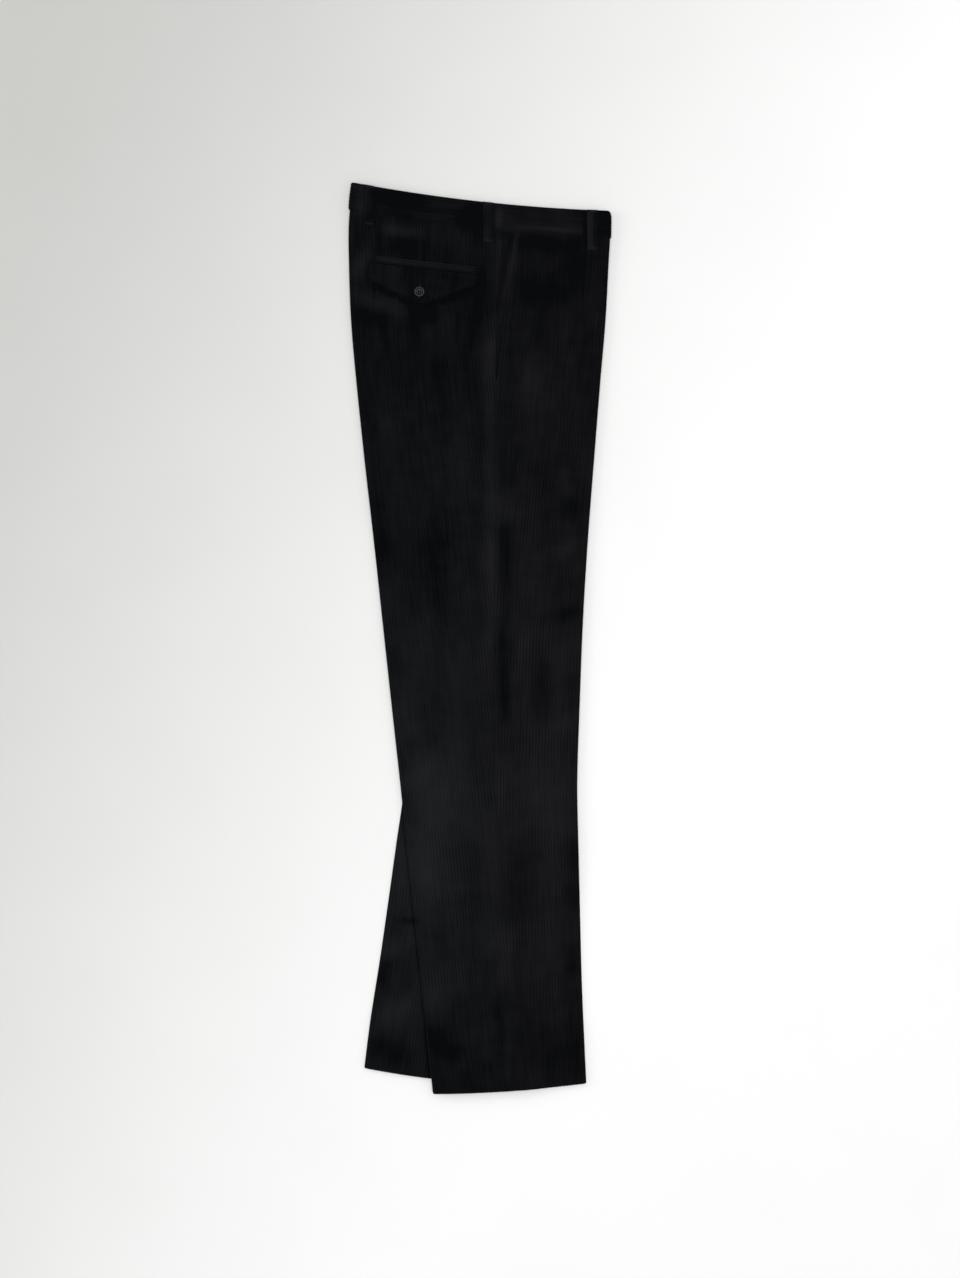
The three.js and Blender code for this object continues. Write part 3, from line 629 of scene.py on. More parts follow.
def closedWall(name, face, back, alongFace, alongBack, faceUv, faceWale, lighter=0.0, backWale=0.4):
    # rows of points on the two faces of a wall, each with its own columns, joined round the rims
    rows, faceCount = face.shape[:2]
    backCount = back.shape[1]
    width = faceCount + backCount
    points = np.concatenate([face, back], axis=1).reshape(-1, 3)
    backUv = np.stack(np.broadcast_arrays(np.asarray(alongBack)[None, :] * mm, face[:, :1, 1]), axis=-1)
    faceUv = np.broadcast_to(faceUv, (rows, faceCount, 2))
    uv = np.concatenate([faceUv, backUv], axis=1).reshape(-1, 2)
    faceWale = np.broadcast_to(faceWale, (rows, faceCount))
    # a back and rims with a low backWale take the grooves' painted shade
    wale = np.concatenate([faceWale, np.full((rows, backCount), backWale)], axis=1).reshape(-1)
    faceTone = np.broadcast_to(lighter, (rows, faceCount))
    own = np.concatenate([faceTone, np.broadcast_to(faceTone[:, :1], (rows, backCount))], axis=1).reshape(-1)
    # the painted light and shade, with the nap tone, go to the cloth as its tone mark
    tone = toneWithPaintedLight(points[:, 0] / mm + lay["middleX"], points[:, 1] / mm + lay["middleHeight"]) + own
    at = np.arange(rows * width).reshape(rows, width)

    def grid(block, turned):
        a, b, c, d = block[:-1, :-1], block[:-1, 1:], block[1:, 1:], block[1:, :-1]
        corners = (a, d, c, b) if turned else (a, b, c, d)
        return np.stack([part.ravel() for part in corners], axis=1)

    start = np.stack([at[:, faceCount], at[:, 0]], axis=1)
    end = np.stack([at[:, faceCount - 1], at[:, -1]], axis=1)
    quads = np.concatenate([
        grid(at[:, :faceCount], False), grid(at[:, faceCount:], True), grid(start, False), grid(end, False),
    ])
    rim = []
    i, j = 0, 0
    while i < faceCount - 1 or j < backCount - 1:
        nextFace = alongFace[i + 1] if i < faceCount - 1 else math.inf
        nextBack = alongBack[j + 1] if j < backCount - 1 else math.inf
        if nextFace <= nextBack:
            rim.append((i + 1, i, faceCount + j))
            i += 1
        else:
            rim.append((faceCount + j, faceCount + j + 1, i))
            j += 1
    low = [tuple(at[0, list(corner)]) for corner in rim]
    high = [tuple(at[-1, list(corner)])[::-1] for corner in rim]

    # corners that share a place, to a micrometre, become one
    keys = np.round(points * 1e6).astype(np.int64)
    _, first, joined = np.unique(keys, axis=0, return_index=True, return_inverse=True)
    joined = joined.ravel()
    faces = []
    for corners in joined[quads].tolist() + [[int(joined[c]) for c in tri] for tri in low + high]:
        kept = [c for k, c in enumerate(corners) if c != corners[k - 1]]
        if len(kept) > 2 and len(set(kept)) == len(kept):
            faces.append(kept)
    marks = {"wale": wale[first], "tone": tone[first]}
    piece = clothMesh(name, points[first].tolist(), faces, uv[first], marks)
    made = bmesh.new()
    made.from_mesh(piece.data)
    if made.calc_volume(signed=True) < 0:
        bmesh.ops.reverse_faces(made, faces=made.faces)
        made.to_mesh(piece.data)
    made.free()
    return piece


def asCloth(piece, name, **cut):
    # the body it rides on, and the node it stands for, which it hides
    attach(piece, "root")
    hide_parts(name)


def cutArea(grid):
    # area of a grid of points in square metres
    a = grid[1:, :-1] - grid[:-1, :-1]
    b = grid[:-1, 1:] - grid[:-1, :-1]
    return float(np.linalg.norm(np.cross(a, b), axis=-1).sum())


# Folded panels
foldStart = cloth["thickness"] + cloth["foldGap"] / 2
widestHalf = 182
foldAngles = np.radians([75, 60, 45, 30, 15, 0, -15, -30, -45, -60, -75])


def runColumns(wales):
    # distances in from the fold, fine over the wales and plain beyond them
    fine = cloth["walePitch"] / cloth["samplesPerWale"]
    finePart = np.arange(foldStart, min(wales, widestHalf), fine)
    start = finePart[-1] + fine if len(finePart) else foldStart
    plainPart = np.arange(start, widestHalf, cloth["plainSpacing"])
    return np.unique(np.concatenate([finePart, plainPart, [widestHalf]]))


def panelColumns(outerWales, innerWales):
    # side seam, round the fold, to the inseam; kind is 1 on the outer wall, 0 on the fold, -1 inside
    outer, inner = runColumns(outerWales), runColumns(innerWales)
    return {
        "inset": np.concatenate([outer[::-1], np.zeros(len(foldAngles)), inner]),
        "angle": np.concatenate([np.zeros(len(outer)), foldAngles, np.zeros(len(inner))]),
        "kind": np.array([1] * len(outer) + [0] * len(foldAngles) + [-1] * len(inner)),
        "along": np.concatenate([-outer[::-1], -foldStart * np.sin(foldAngles), inner]),
    }


def panelPoints(leg, half, columns, y, off):
    way, up = inwards[half], upward[leg]
    fold = edgeX(leg, half, y)
    wall = wallAt(leg, fold, y)
    radius = foldRadius(leg, fold, y)
    start = wall / 2 + radius
    kind = columns["kind"][None, :]
    inset = columns["inset"][None, :]
    reach = np.where(kind > 0, outerReach(leg, half, y), innerReach(leg, half, y))
    inset = np.where(reach - inset < 0.12, reach, np.maximum(inset, start))
    runX = fold + way * inset
    runZ = np.where(kind > 0, outerMid(leg, runX, y) + up * off, innerMid(leg, runX, y) - up * off)
    angle = columns["angle"][None, :]
    centre = fold + way * start
    curved = radius + off
    foldX = centre - way * curved * np.cos(angle)
    foldZ = innerMid(leg, centre, y) + up * (radius + curved * np.sin(angle))
    return np.where(kind == 0, foldX, runX), np.where(kind == 0, foldZ, runZ), reach - inset


def walePhase(inset, x, y):
    # wales counted from the fold, wandering a little along the cloth
    return (inset + cloth["waleWander"] * wander(x * 0.3, y, 60, 12) - foldStart) / cloth["walePitch"]


def foldedPanel(leg, half, outerWales, innerWales):
    name = f"{leg}_{half}_panel"
    count = int(round(cloth["panelLength"] / cloth["rowSpacing"][leg]))
    ends = np.array([0, 0.0004, 0.0011, 0.0022])
    share = np.concatenate([ends, np.linspace(0.004, 0.9965, count), (1 - ends)[::-1]])[:, None]
    edgeShare = np.interp(share, ends, [0.35, 0.68, 0.9, 1])
    topShare = np.interp(share, (1 - ends)[::-1], [1, 0.7, 0.3, 0])

    def rowsOf(columns, offset):
        y = share * cloth["panelLength"] + 0 * columns["along"][None, :]
        for _ in range(5):
            x, z, left = panelPoints(leg, half, columns, y, 0)
            y = mix(hemEdge[leg](x), bandSeam(x) - cloth["seamGap"], share)
        x, z, left = panelPoints(leg, half, columns, y, offset(x, y, left) * edgeShare)
        return x, y, z

    def outside(x, y, left):
        # rounded wales on the cloth that faces up, fading out at a seam and where the other leg covers it
        facing = (columns["kind"] == upward[leg])[None, :]
        wale = waleProfile(walePhase(columns["inset"][None, :], x, y))
        shows = 1 if leg == "right" else ease(edgeX("right", "back", y) - x, 0.5, 5)
        if half == "front" and leg == "left":
            shows = 0
        uneven = 1 + 0.1 * wander(x, y, 18, 21)
        relief = cloth["waleHeight"] * wale * uneven * ease(left, 0, 0.8) * topShare
        tucked = -cloth["seamTuck"] * (1 - ease(left, 0, 1.0) * topShare) if leg == "right" else 0
        pressed = 0
        if leg == "left":
            # the cloth underneath lies flat on the tips of its wales
            below = (columns["kind"] == 1)[None, :]
            pressed = -cloth["underGroove"] * (1 - wale) * below * ease(left, 0, 1.1)
        return wallAt(leg, x, y) / 2 + np.where(facing, shows * relief + tucked, pressed)

    columns = panelColumns(outerWales, innerWales)
    x, y, z = rowsOf(columns, outside)
    fine = np.abs(columns["kind"])[None, :] * (np.gradient(columns["along"])[None, :] < 2)
    wale = np.where(fine > 0, waleProfile(walePhase(columns["inset"][None, :], x, y)), 0.75)
    notch = (1 - wale) * (1 - np.clip(share / 0.006, 0, 1))
    face = place(x, y + notch, z)
    faceUv = clothUv(columns["along"][None, :], y)

    plain = panelColumns(0, 0)
    back = place(*rowsOf(plain, lambda bx, by, left: -wallAt(leg, bx, by) / 2))
    lighter = 0.0
    if leg == "left":
        # a painted shadow, darker where the other leg's edge lies on it
        beside = np.exp(-((x - edgeX("right", "back", y)) / leftWall["edgeWidth"]) ** 2)
        lighter = leftWall["lighter"] - leftWall["edgeShadow"] * beside
    piece = closedWall(name, face, back, columns["along"], plain["along"], faceUv, wale, lighter)
    middle = place(*rowsOf(plain, lambda bx, by, left: 0 * bx))
    area = cutArea(middle)
    width = float(np.linalg.norm(np.diff(middle, axis=1), axis=-1).sum(axis=1).max())
    length = float(np.max(face[..., 1]) - np.min(face[..., 1]))
    under = [f"left_{half}_panel"] if leg == "right" else []
    asCloth(piece, name, flat=(width, length), held="folded", rests_on=under, area=area)
    print(name, len(piece.data.polygons), "faces,", round(width, 3), "m wide,", round(area, 3), "m2")


foldedPanel("right", "back", widestHalf, 0)
foldedPanel("right", "front", widestHalf, 0)
foldedPanel("left", "back", widestHalf, 92)
foldedPanel("left", "front", widestHalf, 0)


def onRightLeg(x, y):
    # clear of the wales' tips
    return outerMid("right", x, y) + cloth["thickness"] / 2 + cloth["waleHeight"] + 0.1


# Waistband
def bandHalf(leg):
    name, up = f"waistband_{leg}", upward[leg]
    line, half, corner = waist["bandLine"], waist["bandThickness"] / 2, waist["bandCorner"]
    turned, around = 7, 90
    foldX = edgeX("right", "back", line)
    centreZ = (outerMid("right", foldX, line) + outerMid("left", foldX, line)) / 2
    radius = abs(outerMid(leg, foldX, bandSeam(foldX)) - centreZ)
    start = radius + half
    butt = math.asin(0.05 / radius)
    quarter = np.linspace(butt, math.pi / 2, turned + 1)[:-1]
    ends = np.concatenate([np.ones(turned), np.zeros(around), -np.ones(turned)])[:, None]
    angle = np.concatenate([quarter, np.zeros(around), quarter[::-1]])[:, None]
    share = np.concatenate([np.zeros(turned), np.linspace(0, 1, around), np.ones(turned)])[:, None]

    def points(at, off):
        height = line + (at - 0.5) * waist["bandHeight"]
        back, front = edgeX("right", "back", height), edgeX("right", "front", height)
        runX = mix(back + start, front - start, share)
        arc = (radius + off) * np.cos(angle)
        x = np.where(ends > 0, back + start - arc, np.where(ends < 0, front - start + arc, runX))
        runZ = outerMid(leg, runX, bandSeam(runX)) + up * off
        if leg == "right":
            runZ = runZ + ease(np.minimum(runX - back, front - runX), 6, 30) * bandSettle(runX, at)
        z = np.where(ends == 0, runZ, centreZ + up * (radius + off) * np.sin(angle))
        fromFront = np.clip(front - x, 0, corner)
        drop = corner - np.sqrt(corner ** 2 - (corner - fromFront) ** 2)
        return x, mix(bandSeam(x) + cloth["seamGap"] / 2, waistEdge(x) - drop, at), z

    steps = waist["bandWales"] * cloth["samplesPerWale"]
    rims = np.array([0, 0.006, 0.02, 0.965, 0.978, 0.988, 0.996, 1])
    at = np.concatenate([rims[:3], np.linspace(0.03, 0.965, steps), rims[4:]])
    roundness = np.interp(at, rims, [0.78, 0.93, 1, 1, 0.97, 0.86, 0.66, 0.4])
    starts, stops = ease(at, 0.015, 0.05), 1 - ease(at, 0.94, 0.975)
    shown = waleProfile(at * waist["bandWales"] * 1.02) * starts * stops
    raised = shown if leg == "right" else 0.8 * (shown - starts * stops)
    tight = roundness * half + raised * waist["bandRelief"]
    x, y, z = points(at[None, :], tight[None, :])
    face = place(x, y, z)
    faceUv = clothUv(at[None, :] * waist["bandHeight"], x)
    wale = np.broadcast_to(np.clip(shown + 0.15, 0, 1)[None, :], x.shape)
    atBack = np.array([0, 0.02, 0.5, 0.965, 0.988, 1])
    backRound = np.interp(atBack, at, roundness)
    back = place(*points(atBack[None, :], -backRound[None, :] * half))
    piece = closedWall(name, face, back, at, atBack, faceUv, wale)
    size = (0.333, waist["bandHeight"] * mm)
    asCloth(piece, name, flat=size, held="folded", rests_on=[f"{leg}_back_panel"])


def bandSettle(x, at):
    # the band dips a little between its loops, and rolls at its lower edge
    return waist["bandDip"] * wander(x, at * 30, 60, 31) - waist["bandRoll"] * np.exp(-(at / 0.06) ** 2)


bandHalf("right")
bandHalf("left")
print("waistband made")

# Belt loops
beltLoops = {
    "width": 13,
    "length": 48,
    "thickness": 1.2,
    "wales": 3,
    "relief": 0.42,
    "edgeRoll": 0.9,
    "standOff": 0.7,
    "places": {"back": -132, "side": 10, "front": 135},
    "lighter": {"back": 0.02, "side": 0.3, "front": 0.55},
}


def loopSurface(leg, x, y, down):
    if leg == "left":
        return 0 * x
    onBand = outerMid("right", x, bandSeam(x)) + waist["bandThickness"] / 2 + waist["bandRelief"] + 0.15
    onLeg = onRightLeg(x, y)
    lower = ease(y, bandSeam(x) - 7, bandSeam(x) + 1)
    arch = beltLoops["standOff"] * np.sin(math.pi * np.clip(down / 0.7, 0, 1)) ** 2
    return mix(onLeg, onBand, lower) + arch


def beltLoop(leg, spot):
    name = f"belt_loop_{leg}_{spot}"
    centre, width, roll = beltLoops["places"][spot], beltLoops["width"], beltLoops["edgeRoll"]
    half = beltLoops["thickness"] / 2
    columns = np.linspace(0, 1, beltLoops["wales"] * cloth["samplesPerWale"] + 9)
    rims = np.array([0, 0.004, 0.012, 0.025, 0.975, 0.988, 0.996, 1])
    down = np.concatenate([rims[:3], np.linspace(0.025, 0.975, 44), rims[5:]])[:, None]
    rounded = np.interp(down, rims, [0.4, 0.7, 0.9, 1, 1, 0.9, 0.7, 0.4])

    def points(share, outside):
        bend = 0.35 * np.sin(down * 5 + centre) if leg == "right" else 0
        x = centre + bend + width * (share - 0.5)
        y = waistEdge(x) - beltLoops["length"] * down
        edge = np.minimum(share, 1 - share) * width
        wall = half * (np.sqrt(np.clip(edge / roll, 0.12, 1)) * rounded)
        wale = waleProfile((share * width - roll) / (width - 2 * roll) * beltLoops["wales"])
        wale = wale * ease(edge, 0.7, 1.5)
        z = loopSurface(leg, x, y, down) + half
        if leg == "left":
            groove = 0.7 * beltLoops["relief"] * (1 - wale) * ease(edge, 0.7, 1.5)
            return x, y, z + (groove * rounded - wall if outside else wall), wale
        return x, y, z + (wall + beltLoops["relief"] * wale * rounded if outside else -wall), wale

    x, y, z, wale = points(columns[None, :], True)
    faceUv = clothUv(x, y)
    backColumns = np.array([0, 0.06, 0.5, 0.94, 1])
    face, back = place(x, y, z), place(*points(backColumns[None, :], False)[:3])
    # a painted highlight along each loop's left side, strongest on the front loop, fading across it
    lighter = beltLoops["lighter"][spot] * (1 - 0.9 * ease(columns[None, :], 0.3, 0.85)) - 0.05
    piece = closedWall(name, face, back, columns, backColumns, faceUv, np.clip(wale + 0.12, 0, 1), lighter)
    size = (width * mm, (beltLoops["length"] + 2) * mm)
    asCloth(piece, name, flat=size, held="laid", rests_on=[f"waistband_{leg}"])


for leg in ("right", "left"):
    for spot in beltLoops["places"]:
        beltLoop(leg, spot)
print("belt loops made")

# Front pocket's facing
facing = {
    "thickness": 1.0, "tuck": 9, "underSeam": 5, "under": 0.45, "recess": 1.25, "relief": 0.5,
    "lighter": -0.12,
}


def pocketFacing(name):
    heights = np.linspace(mouth["foot"] - 6, 1038, 80)[:, None]
    seam, edge = sideSeamX("right", heights), pocketMouthX(heights)

    def points(x, side):
        y = np.minimum(heights, bandSeam(x) - 0.3)
        middle = outerMid("right", x, y) - cloth["thickness"] / 2 - facing["under"] - facing["thickness"] / 2
        shows = ease(x - seam, -0.6, 1.4) * (1 - ease(x, edge - 0.7, edge - 0.15)) * ease(edge - seam, 1.5, 6)
        wale = waleProfile((x - seam) / cloth["walePitch"]) * shows
        lift = facing["recess"] * shows
        z = middle + lift + side * facing["thickness"] / 2 + (facing["relief"] * wale if side > 0 else 0)
        return x, y, z, wale

    def across(share):
        return mix(seam - facing["underSeam"], edge + facing["tuck"], share[None, :])

    columns, backColumns = np.linspace(0, 1, 75), np.linspace(0, 1, 9)
    x, y, z, wale = points(across(columns), 1)
    back = place(*points(across(backColumns), -1)[:3])
    face, faceWale = place(x, y, z), np.clip(wale + 0.1, 0, 1)
    piece = closedWall(name, face, back, columns, backColumns, clothUv(x, y), faceWale, facing["lighter"])
    area = cutArea(back)
    asCloth(piece, name, flat=(0.036, 0.196), held="laid", rests_on=["right_back_panel"], area=area)


pocketFacing("pocket_facing")

# Hip pocket: a welt, a pointed flap and its button
pocket = {"x": -67, "y": 990.5, "angle": math.radians(-6.2)}
flap = {
    "halfWidth": 66, "backSide": 21.5, "frontSide": 15, "tip": 45, "tipX": 2.5, "tipRadius": 8,
    "corner": 4, "thickness": 1.6, "relief": 0.55, "stitchInset": 5.5, "stitchDepth": 0.4,
    "edgeLift": 0.5, "lighter": -0.01,
    "slant": 0.93,     # distance to a slanted edge for each millimetre down to it
}
welt = {
    "x": 2.5, "halfWidth": 60.5, "height": 6.6, "thickness": 1.5, "dome": 0.9, "wales": 2,
    "relief": 0.35, "uneven": 0.12, "lighter": 0.34,
}
button = {
    "x": -2, "y": -30, "radius": 6.3, "thickness": 2.6, "rim": 1.5, "rimSlope": 1.5, "dish": 0.8,
    "backHeight": 1.25, "backRound": 1.15, "shoulderRound": 0.8, "rimRound": 0.55, "dishRound": 0.45,
    "holeRadius": 0.8, "holeOffset": 1.6, "holeLip": 0.35, "segments": 72, "sharpAngle": 38,
}


def onPocket(across, up, off):
    turn = pocket["angle"]
    x = pocket["x"] + across * math.cos(turn) - up * math.sin(turn)
    y = pocket["y"] + across * math.sin(turn) + up * math.cos(turn)
    return x, y, onRightLeg(x, y) + off


def flapDepth(across):
    # two slants to a rounded tip, and rounded corners
    front = across > flap["tipX"]
    side = np.where(front, flap["frontSide"], flap["backSide"])
    span = np.abs(np.where(front, flap["halfWidth"], -flap["halfWidth"]) - flap["tipX"])
    away = np.abs(across - flap["tipX"])
    softened = np.sqrt(away ** 2 + flap["tipRadius"] ** 2) - flap["tipRadius"]
    toEnd = np.clip(flap["halfWidth"] - np.abs(across), 0, flap["corner"])
    corner = flap["corner"] - np.sqrt(flap["corner"] ** 2 - (flap["corner"] - toEnd) ** 2)
    return flap["tip"] - (flap["tip"] - side) * softened / (span - flap["tipRadius"]) - corner


def flapFromEdge(across, down):
    sideways = flap["halfWidth"] - np.abs(across)
    return np.minimum(sideways, (flapDepth(across) - down) * flap["slant"])


def flapTop(across, down):
    # height of the flap's surface over the cloth it lies on, without its wales
    inside = flapFromEdge(across, down)
    roll = np.sqrt(np.clip(np.minimum(inside, down + 0.15) / 1.3, 0.06, 1))
    groove = flap["stitchDepth"] * np.exp(-((inside - flap["stitchInset"]) / 0.9) ** 2) * ease(down, 0.5, 2)
    puff = 0.35 * ease(inside, 1, 4) * (1 - ease(inside, 4.6, 6.2)) + 0.3 * ease(inside, 7, 16)
    puff = (puff + 0.14 * wander(across, down, 24, 41)) * ease(down, 0, 3)
    return flap["thickness"] * (0.3 + 0.7 * roll) + puff - groove + flapLift(across, down)


def flapLift(across, down):
    # its free edges stand a little off the cloth
    return flap["edgeLift"] * (1 - ease(flapFromEdge(across, down), 0, 7)) * ease(down, 3, 12)


def pocketFlap(name):
    steps = int(2 * flap["halfWidth"] / cloth["walePitch"] * cloth["samplesPerWale"])
    columns = np.concatenate([[0, 0.003], np.linspace(0.008, 0.992, steps), [0.997, 1]])
    rows = [[0, 0.01, 0.025], np.linspace(0.05, 0.95, 28), [0.965, 0.978, 0.988, 0.996, 1]]
    down = np.concatenate(rows)[:, None]
    across = mix(-flap["halfWidth"], flap["halfWidth"], columns[None, :])
    depth = flapDepth(across) * down
    inside = flapFromEdge(across, depth)
    wale = waleProfile(across / cloth["walePitch"]) * ease(np.minimum(inside, depth), 0.2, 2.4)
    flat = 1 - 0.6 * np.exp(-((inside - flap["stitchInset"]) / 0.9) ** 2)
    off = flapTop(across, depth) + flap["relief"] * wale * flat
    face = place(*onPocket(across, -depth, off))
    backColumns = np.linspace(0, 1, 34)
    behind = mix(-flap["halfWidth"], flap["halfWidth"], backColumns[None, :])
    behindDepth = flapDepth(behind) * down
    back = place(*onPocket(behind, -behindDepth, flapLift(behind, behindDepth)))
    # painted shade along the flap's top under the welt and round its rim; its side walls take the grooves'
    # painted shade too
    shade = flap["lighter"] - 0.4 * (1 - ease(depth, 0.5, 3)) - 0.3 * (1 - ease(inside, 0.3, 1.6))
    uv = clothUv(across, depth)
    piece = closedWall(name, face, back, columns, backColumns, uv, wale * flat, shade, 0.0)
    area = cutArea(back)
    asCloth(piece, name, flat=(0.132, 0.046), held="laid", rests_on=["right_back_panel"], area=area)


def pocketWelt(name):
    columns = np.concatenate([[0, 0.002, 0.006], np.linspace(0.012, 0.988, 90), [0.994, 0.998, 1]])[None, :]
    share = np.linspace(0, 1, 25)[:, None]
    across = mix(-welt["halfWidth"], welt["halfWidth"], columns)
    wale = waleProfile(share * welt["wales"]) + 0 * columns
    toEnd = welt["halfWidth"] - np.abs(across)
    ends = np.sqrt(np.clip(toEnd / 1.1, 0.1, 1))
    dome = welt["dome"] * np.sin(math.pi * share)
    edge = np.sqrt(np.clip(np.minimum(share, 1 - share) * welt["height"] / 0.9, 0.08, 1))
    uneven = welt["uneven"] * wander(across, share * 6, 22, 52)
    top = (welt["thickness"] + dome + uneven) * ends * edge + welt["relief"] * wale * ends
    lift = 0.1 + share * welt["height"]
    face = place(*onPocket(welt["x"] + across, lift, top))
    backColumns = np.linspace(0, 1, 12)[None, :]
    behind = mix(-welt["halfWidth"], welt["halfWidth"], backColumns)
    back = place(*onPocket(welt["x"] + behind, lift, -0.05 + 0 * behind * share))
    # a painted highlight along the welt's middle, narrowing towards its ends, with painted shade at its lower
    # and upper edges; its rims take the grooves' painted shade
    narrowing = 1.2 + 2.4 * (1 - ease(toEnd, 0, 40))
    shine = np.sin(math.pi * share ** 0.85) ** narrowing * ease(toEnd, 0, 5)
    shade = welt["lighter"] * shine - 0.35 * (1 - ease(share, 0, 0.25)) - 0.2 * ease(share, 0.7, 1)
    uv, faceWale = clothUv(share * welt["height"], across), np.clip(wale + 0.3, 0, 1)
    piece = closedWall(name, face, back, columns[0], backColumns[0], uv, faceWale, shade, 0.0)
    area = cutArea(back)
    asCloth(piece, name, flat=(0.121, 0.0105), held="laid", rests_on=["right_back_panel"], area=area)


pocketFlap("pocket_flap")
pocketWelt("pocket_welt")
print("hip pocket made")


def latheMesh(name, profile, segments):
    # profile: (radius, height) in metres, from the axis round to the axis
    made = bmesh.new()
    rings = []
    for radius, height in profile:
        if radius < 1e-7:
            rings.append([made.verts.new((0, 0, height))])
        else:
            turns = [math.tau * k / segments for k in range(segments)]
            corners = [(radius * math.cos(turn), radius * math.sin(turn), height) for turn in turns]
            rings.append([made.verts.new(corner) for corner in corners])
    for low, high in zip(rings, rings[1:]):
        for k in range(segments):
            n = (k + 1) % segments
            if len(low) == 1:
                made.faces.new((low[0], high[n], high[k]))
            elif len(high) == 1:
                made.faces.new((low[k], low[n], high[0]))
            else:
                made.faces.new((low[k], low[n], high[n], high[k]))
    bmesh.ops.recalc_face_normals(made, faces=made.faces)
    mesh = bpy.data.meshes.new(name)
    made.to_mesh(mesh)
    made.free()
    return linked(name, mesh)


def asPlainMesh(piece, name, material):
    # what the object looks like with its modifiers, as a plain mesh object
    bpy.context.view_layer.update()
    graph = bpy.context.evaluated_depsgraph_get()
    mesh = bpy.data.meshes.new_from_object(piece.evaluated_get(graph))
    mesh.name = name
    mesh.transform(piece.matrix_world)
    mesh.materials.clear()
    mesh.materials.append(material)
    mesh.polygons.foreach_set("material_index", np.zeros(len(mesh.polygons), dtype=np.int32))
    bpy.data.objects.remove(piece)
    return linked(name, mesh)


def toMetres(profile):
    return [(radius * mm, height * mm) for radius, height in profile]


def placing(offset, turn=0):
    return Matrix.Translation(Vector(offset)) @ Matrix.Rotation(turn, 4, "Z")


def arc(cx, cz, radius, start, end, count):
    turns = np.radians(np.linspace(start, end, count))
    return [(cx + radius * math.cos(t), cz + radius * math.sin(t)) for t in turns]


def pocketButton(name):
    radius, thickness = button["radius"], button["thickness"]
    well = radius - button["rim"]
    top = thickness - button["dish"]
    backRound, shoulder = button["backRound"], button["shoulderRound"]
    rimRound, dishRound = button["rimRound"], button["dishRound"]
    profile = [(0, 0), (radius * 0.62, 0)]
    profile += arc(radius - backRound, button["backHeight"], backRound, -50, 0, 6)
    profile += arc(radius - shoulder, thickness - shoulder, shoulder, 10, 90, 8)
    profile += arc(well, thickness - rimRound, rimRound, 90, 150, 6)
    profile += arc(well - button["rimSlope"], top + dishRound, dishRound, -30, -90, 5)
    profile += [((well - 2.2) * 0.5, top - 0.03), (0, top - 0.05)]
    disc = latheMesh(name, toMetres(profile), button["segments"])
    hole, lip = button["holeRadius"], button["holeLip"]
    turns = np.radians([25, 50, 75, 90])
    cut = [(0, -1), (hole, -1), (hole, top - lip)]
    cut += [(hole + lip * (1 - math.cos(turn)), top - lip + lip * math.sin(turn)) for turn in turns]
    cut += [(hole + lip, thickness + 1), (0, thickness + 1)]
    cutters = []
    for quarter in range(4):
        turn = math.radians(45 + 90 * quarter)
        cutter = latheMesh("holeCutter", toMetres(cut), 20)
        offset = (button["holeOffset"] * math.cos(turn) * mm, button["holeOffset"] * math.sin(turn) * mm, 0)
        cutter.data.transform(placing(offset))
        modifier = disc.modifiers.new("hole", "BOOLEAN")
        modifier.operation = "DIFFERENCE"
        modifier.solver = "EXACT"
        modifier.object = cutter
        cutters.append(cutter)
    lift = flapTop(button["x"], -button["y"]) + flap["relief"] + 0.15
    seat = place(*onPocket(button["x"], button["y"], lift))
    plain = asPlainMesh(disc, name, horn)
    for cutter in cutters:
        bpy.data.objects.remove(cutter)
    plain.data.transform(placing(seat, pocket["angle"]))
    plain.data.shade_smooth()
    plain.data.set_sharp_from_angle(angle=math.radians(button["sharpAngle"]))
    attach(plain, "root")
    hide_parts(name)
    return seat


buttonSeat = pocketButton("pocket_button")


# Sewing
def curvePiece(name, lines):
    curve = bpy.data.curves.new(name, "CURVE")
    curve.dimensions = "3D"
    for line in lines:
        spline = curve.splines.new("POLY")
        spline.points.add(len(line) - 1)
        for point, where in zip(spline.points, line):
            point.co = (*where, 1)
    return linked(name, curve)


def asThread(holder, name):
    plain = asPlainMesh(holder, name, thread)
    plain.data.shade_smooth()
    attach(plain, "root")
    print(name, len(plain.data.polygons), "faces")


threadBars = {
    "radius": 0.2, "roundness": 3, "steps": 13, "leans": (-0.3, 0.02, 0.33), "sunk": 0.9, "arch": 1.25,
}


def buttonThread(name, seat):
    # two bars of thread, each of several strands sunk through a pair of holes
    reach = button["holeOffset"] * math.cos(math.radians(45))
    top = button["thickness"] - button["dish"]
    turn = placing((0, 0, 0), pocket["angle"]).to_quaternion()
    lines = []
    for side in (-1, 1):
        for strand, lean in enumerate(threadBars["leans"]):
            line = []
            for k in range(threadBars["steps"]):
                share = k / (threadBars["steps"] - 1)
                across = mix(-reach, reach, share)
                arch = threadBars["arch"] * math.sin(math.pi * share) ** 0.45
                away = side * reach + lean * (1 - 0.35 * abs(2 * share - 1))
                turned = Vector((away, across, top - threadBars["sunk"] + arch + 0.06 * strand))
                turned.rotate(turn)
                line.append(Vector(seat) + turned * mm)
            lines.append(line)
    holder = curvePiece(name, lines)
    holder.data.bevel_depth = threadBars["radius"] * mm
    holder.data.bevel_resolution = threadBars["roundness"]
    asThread(holder, name)


buttonThread("button_thread", buttonSeat)
print("button made")


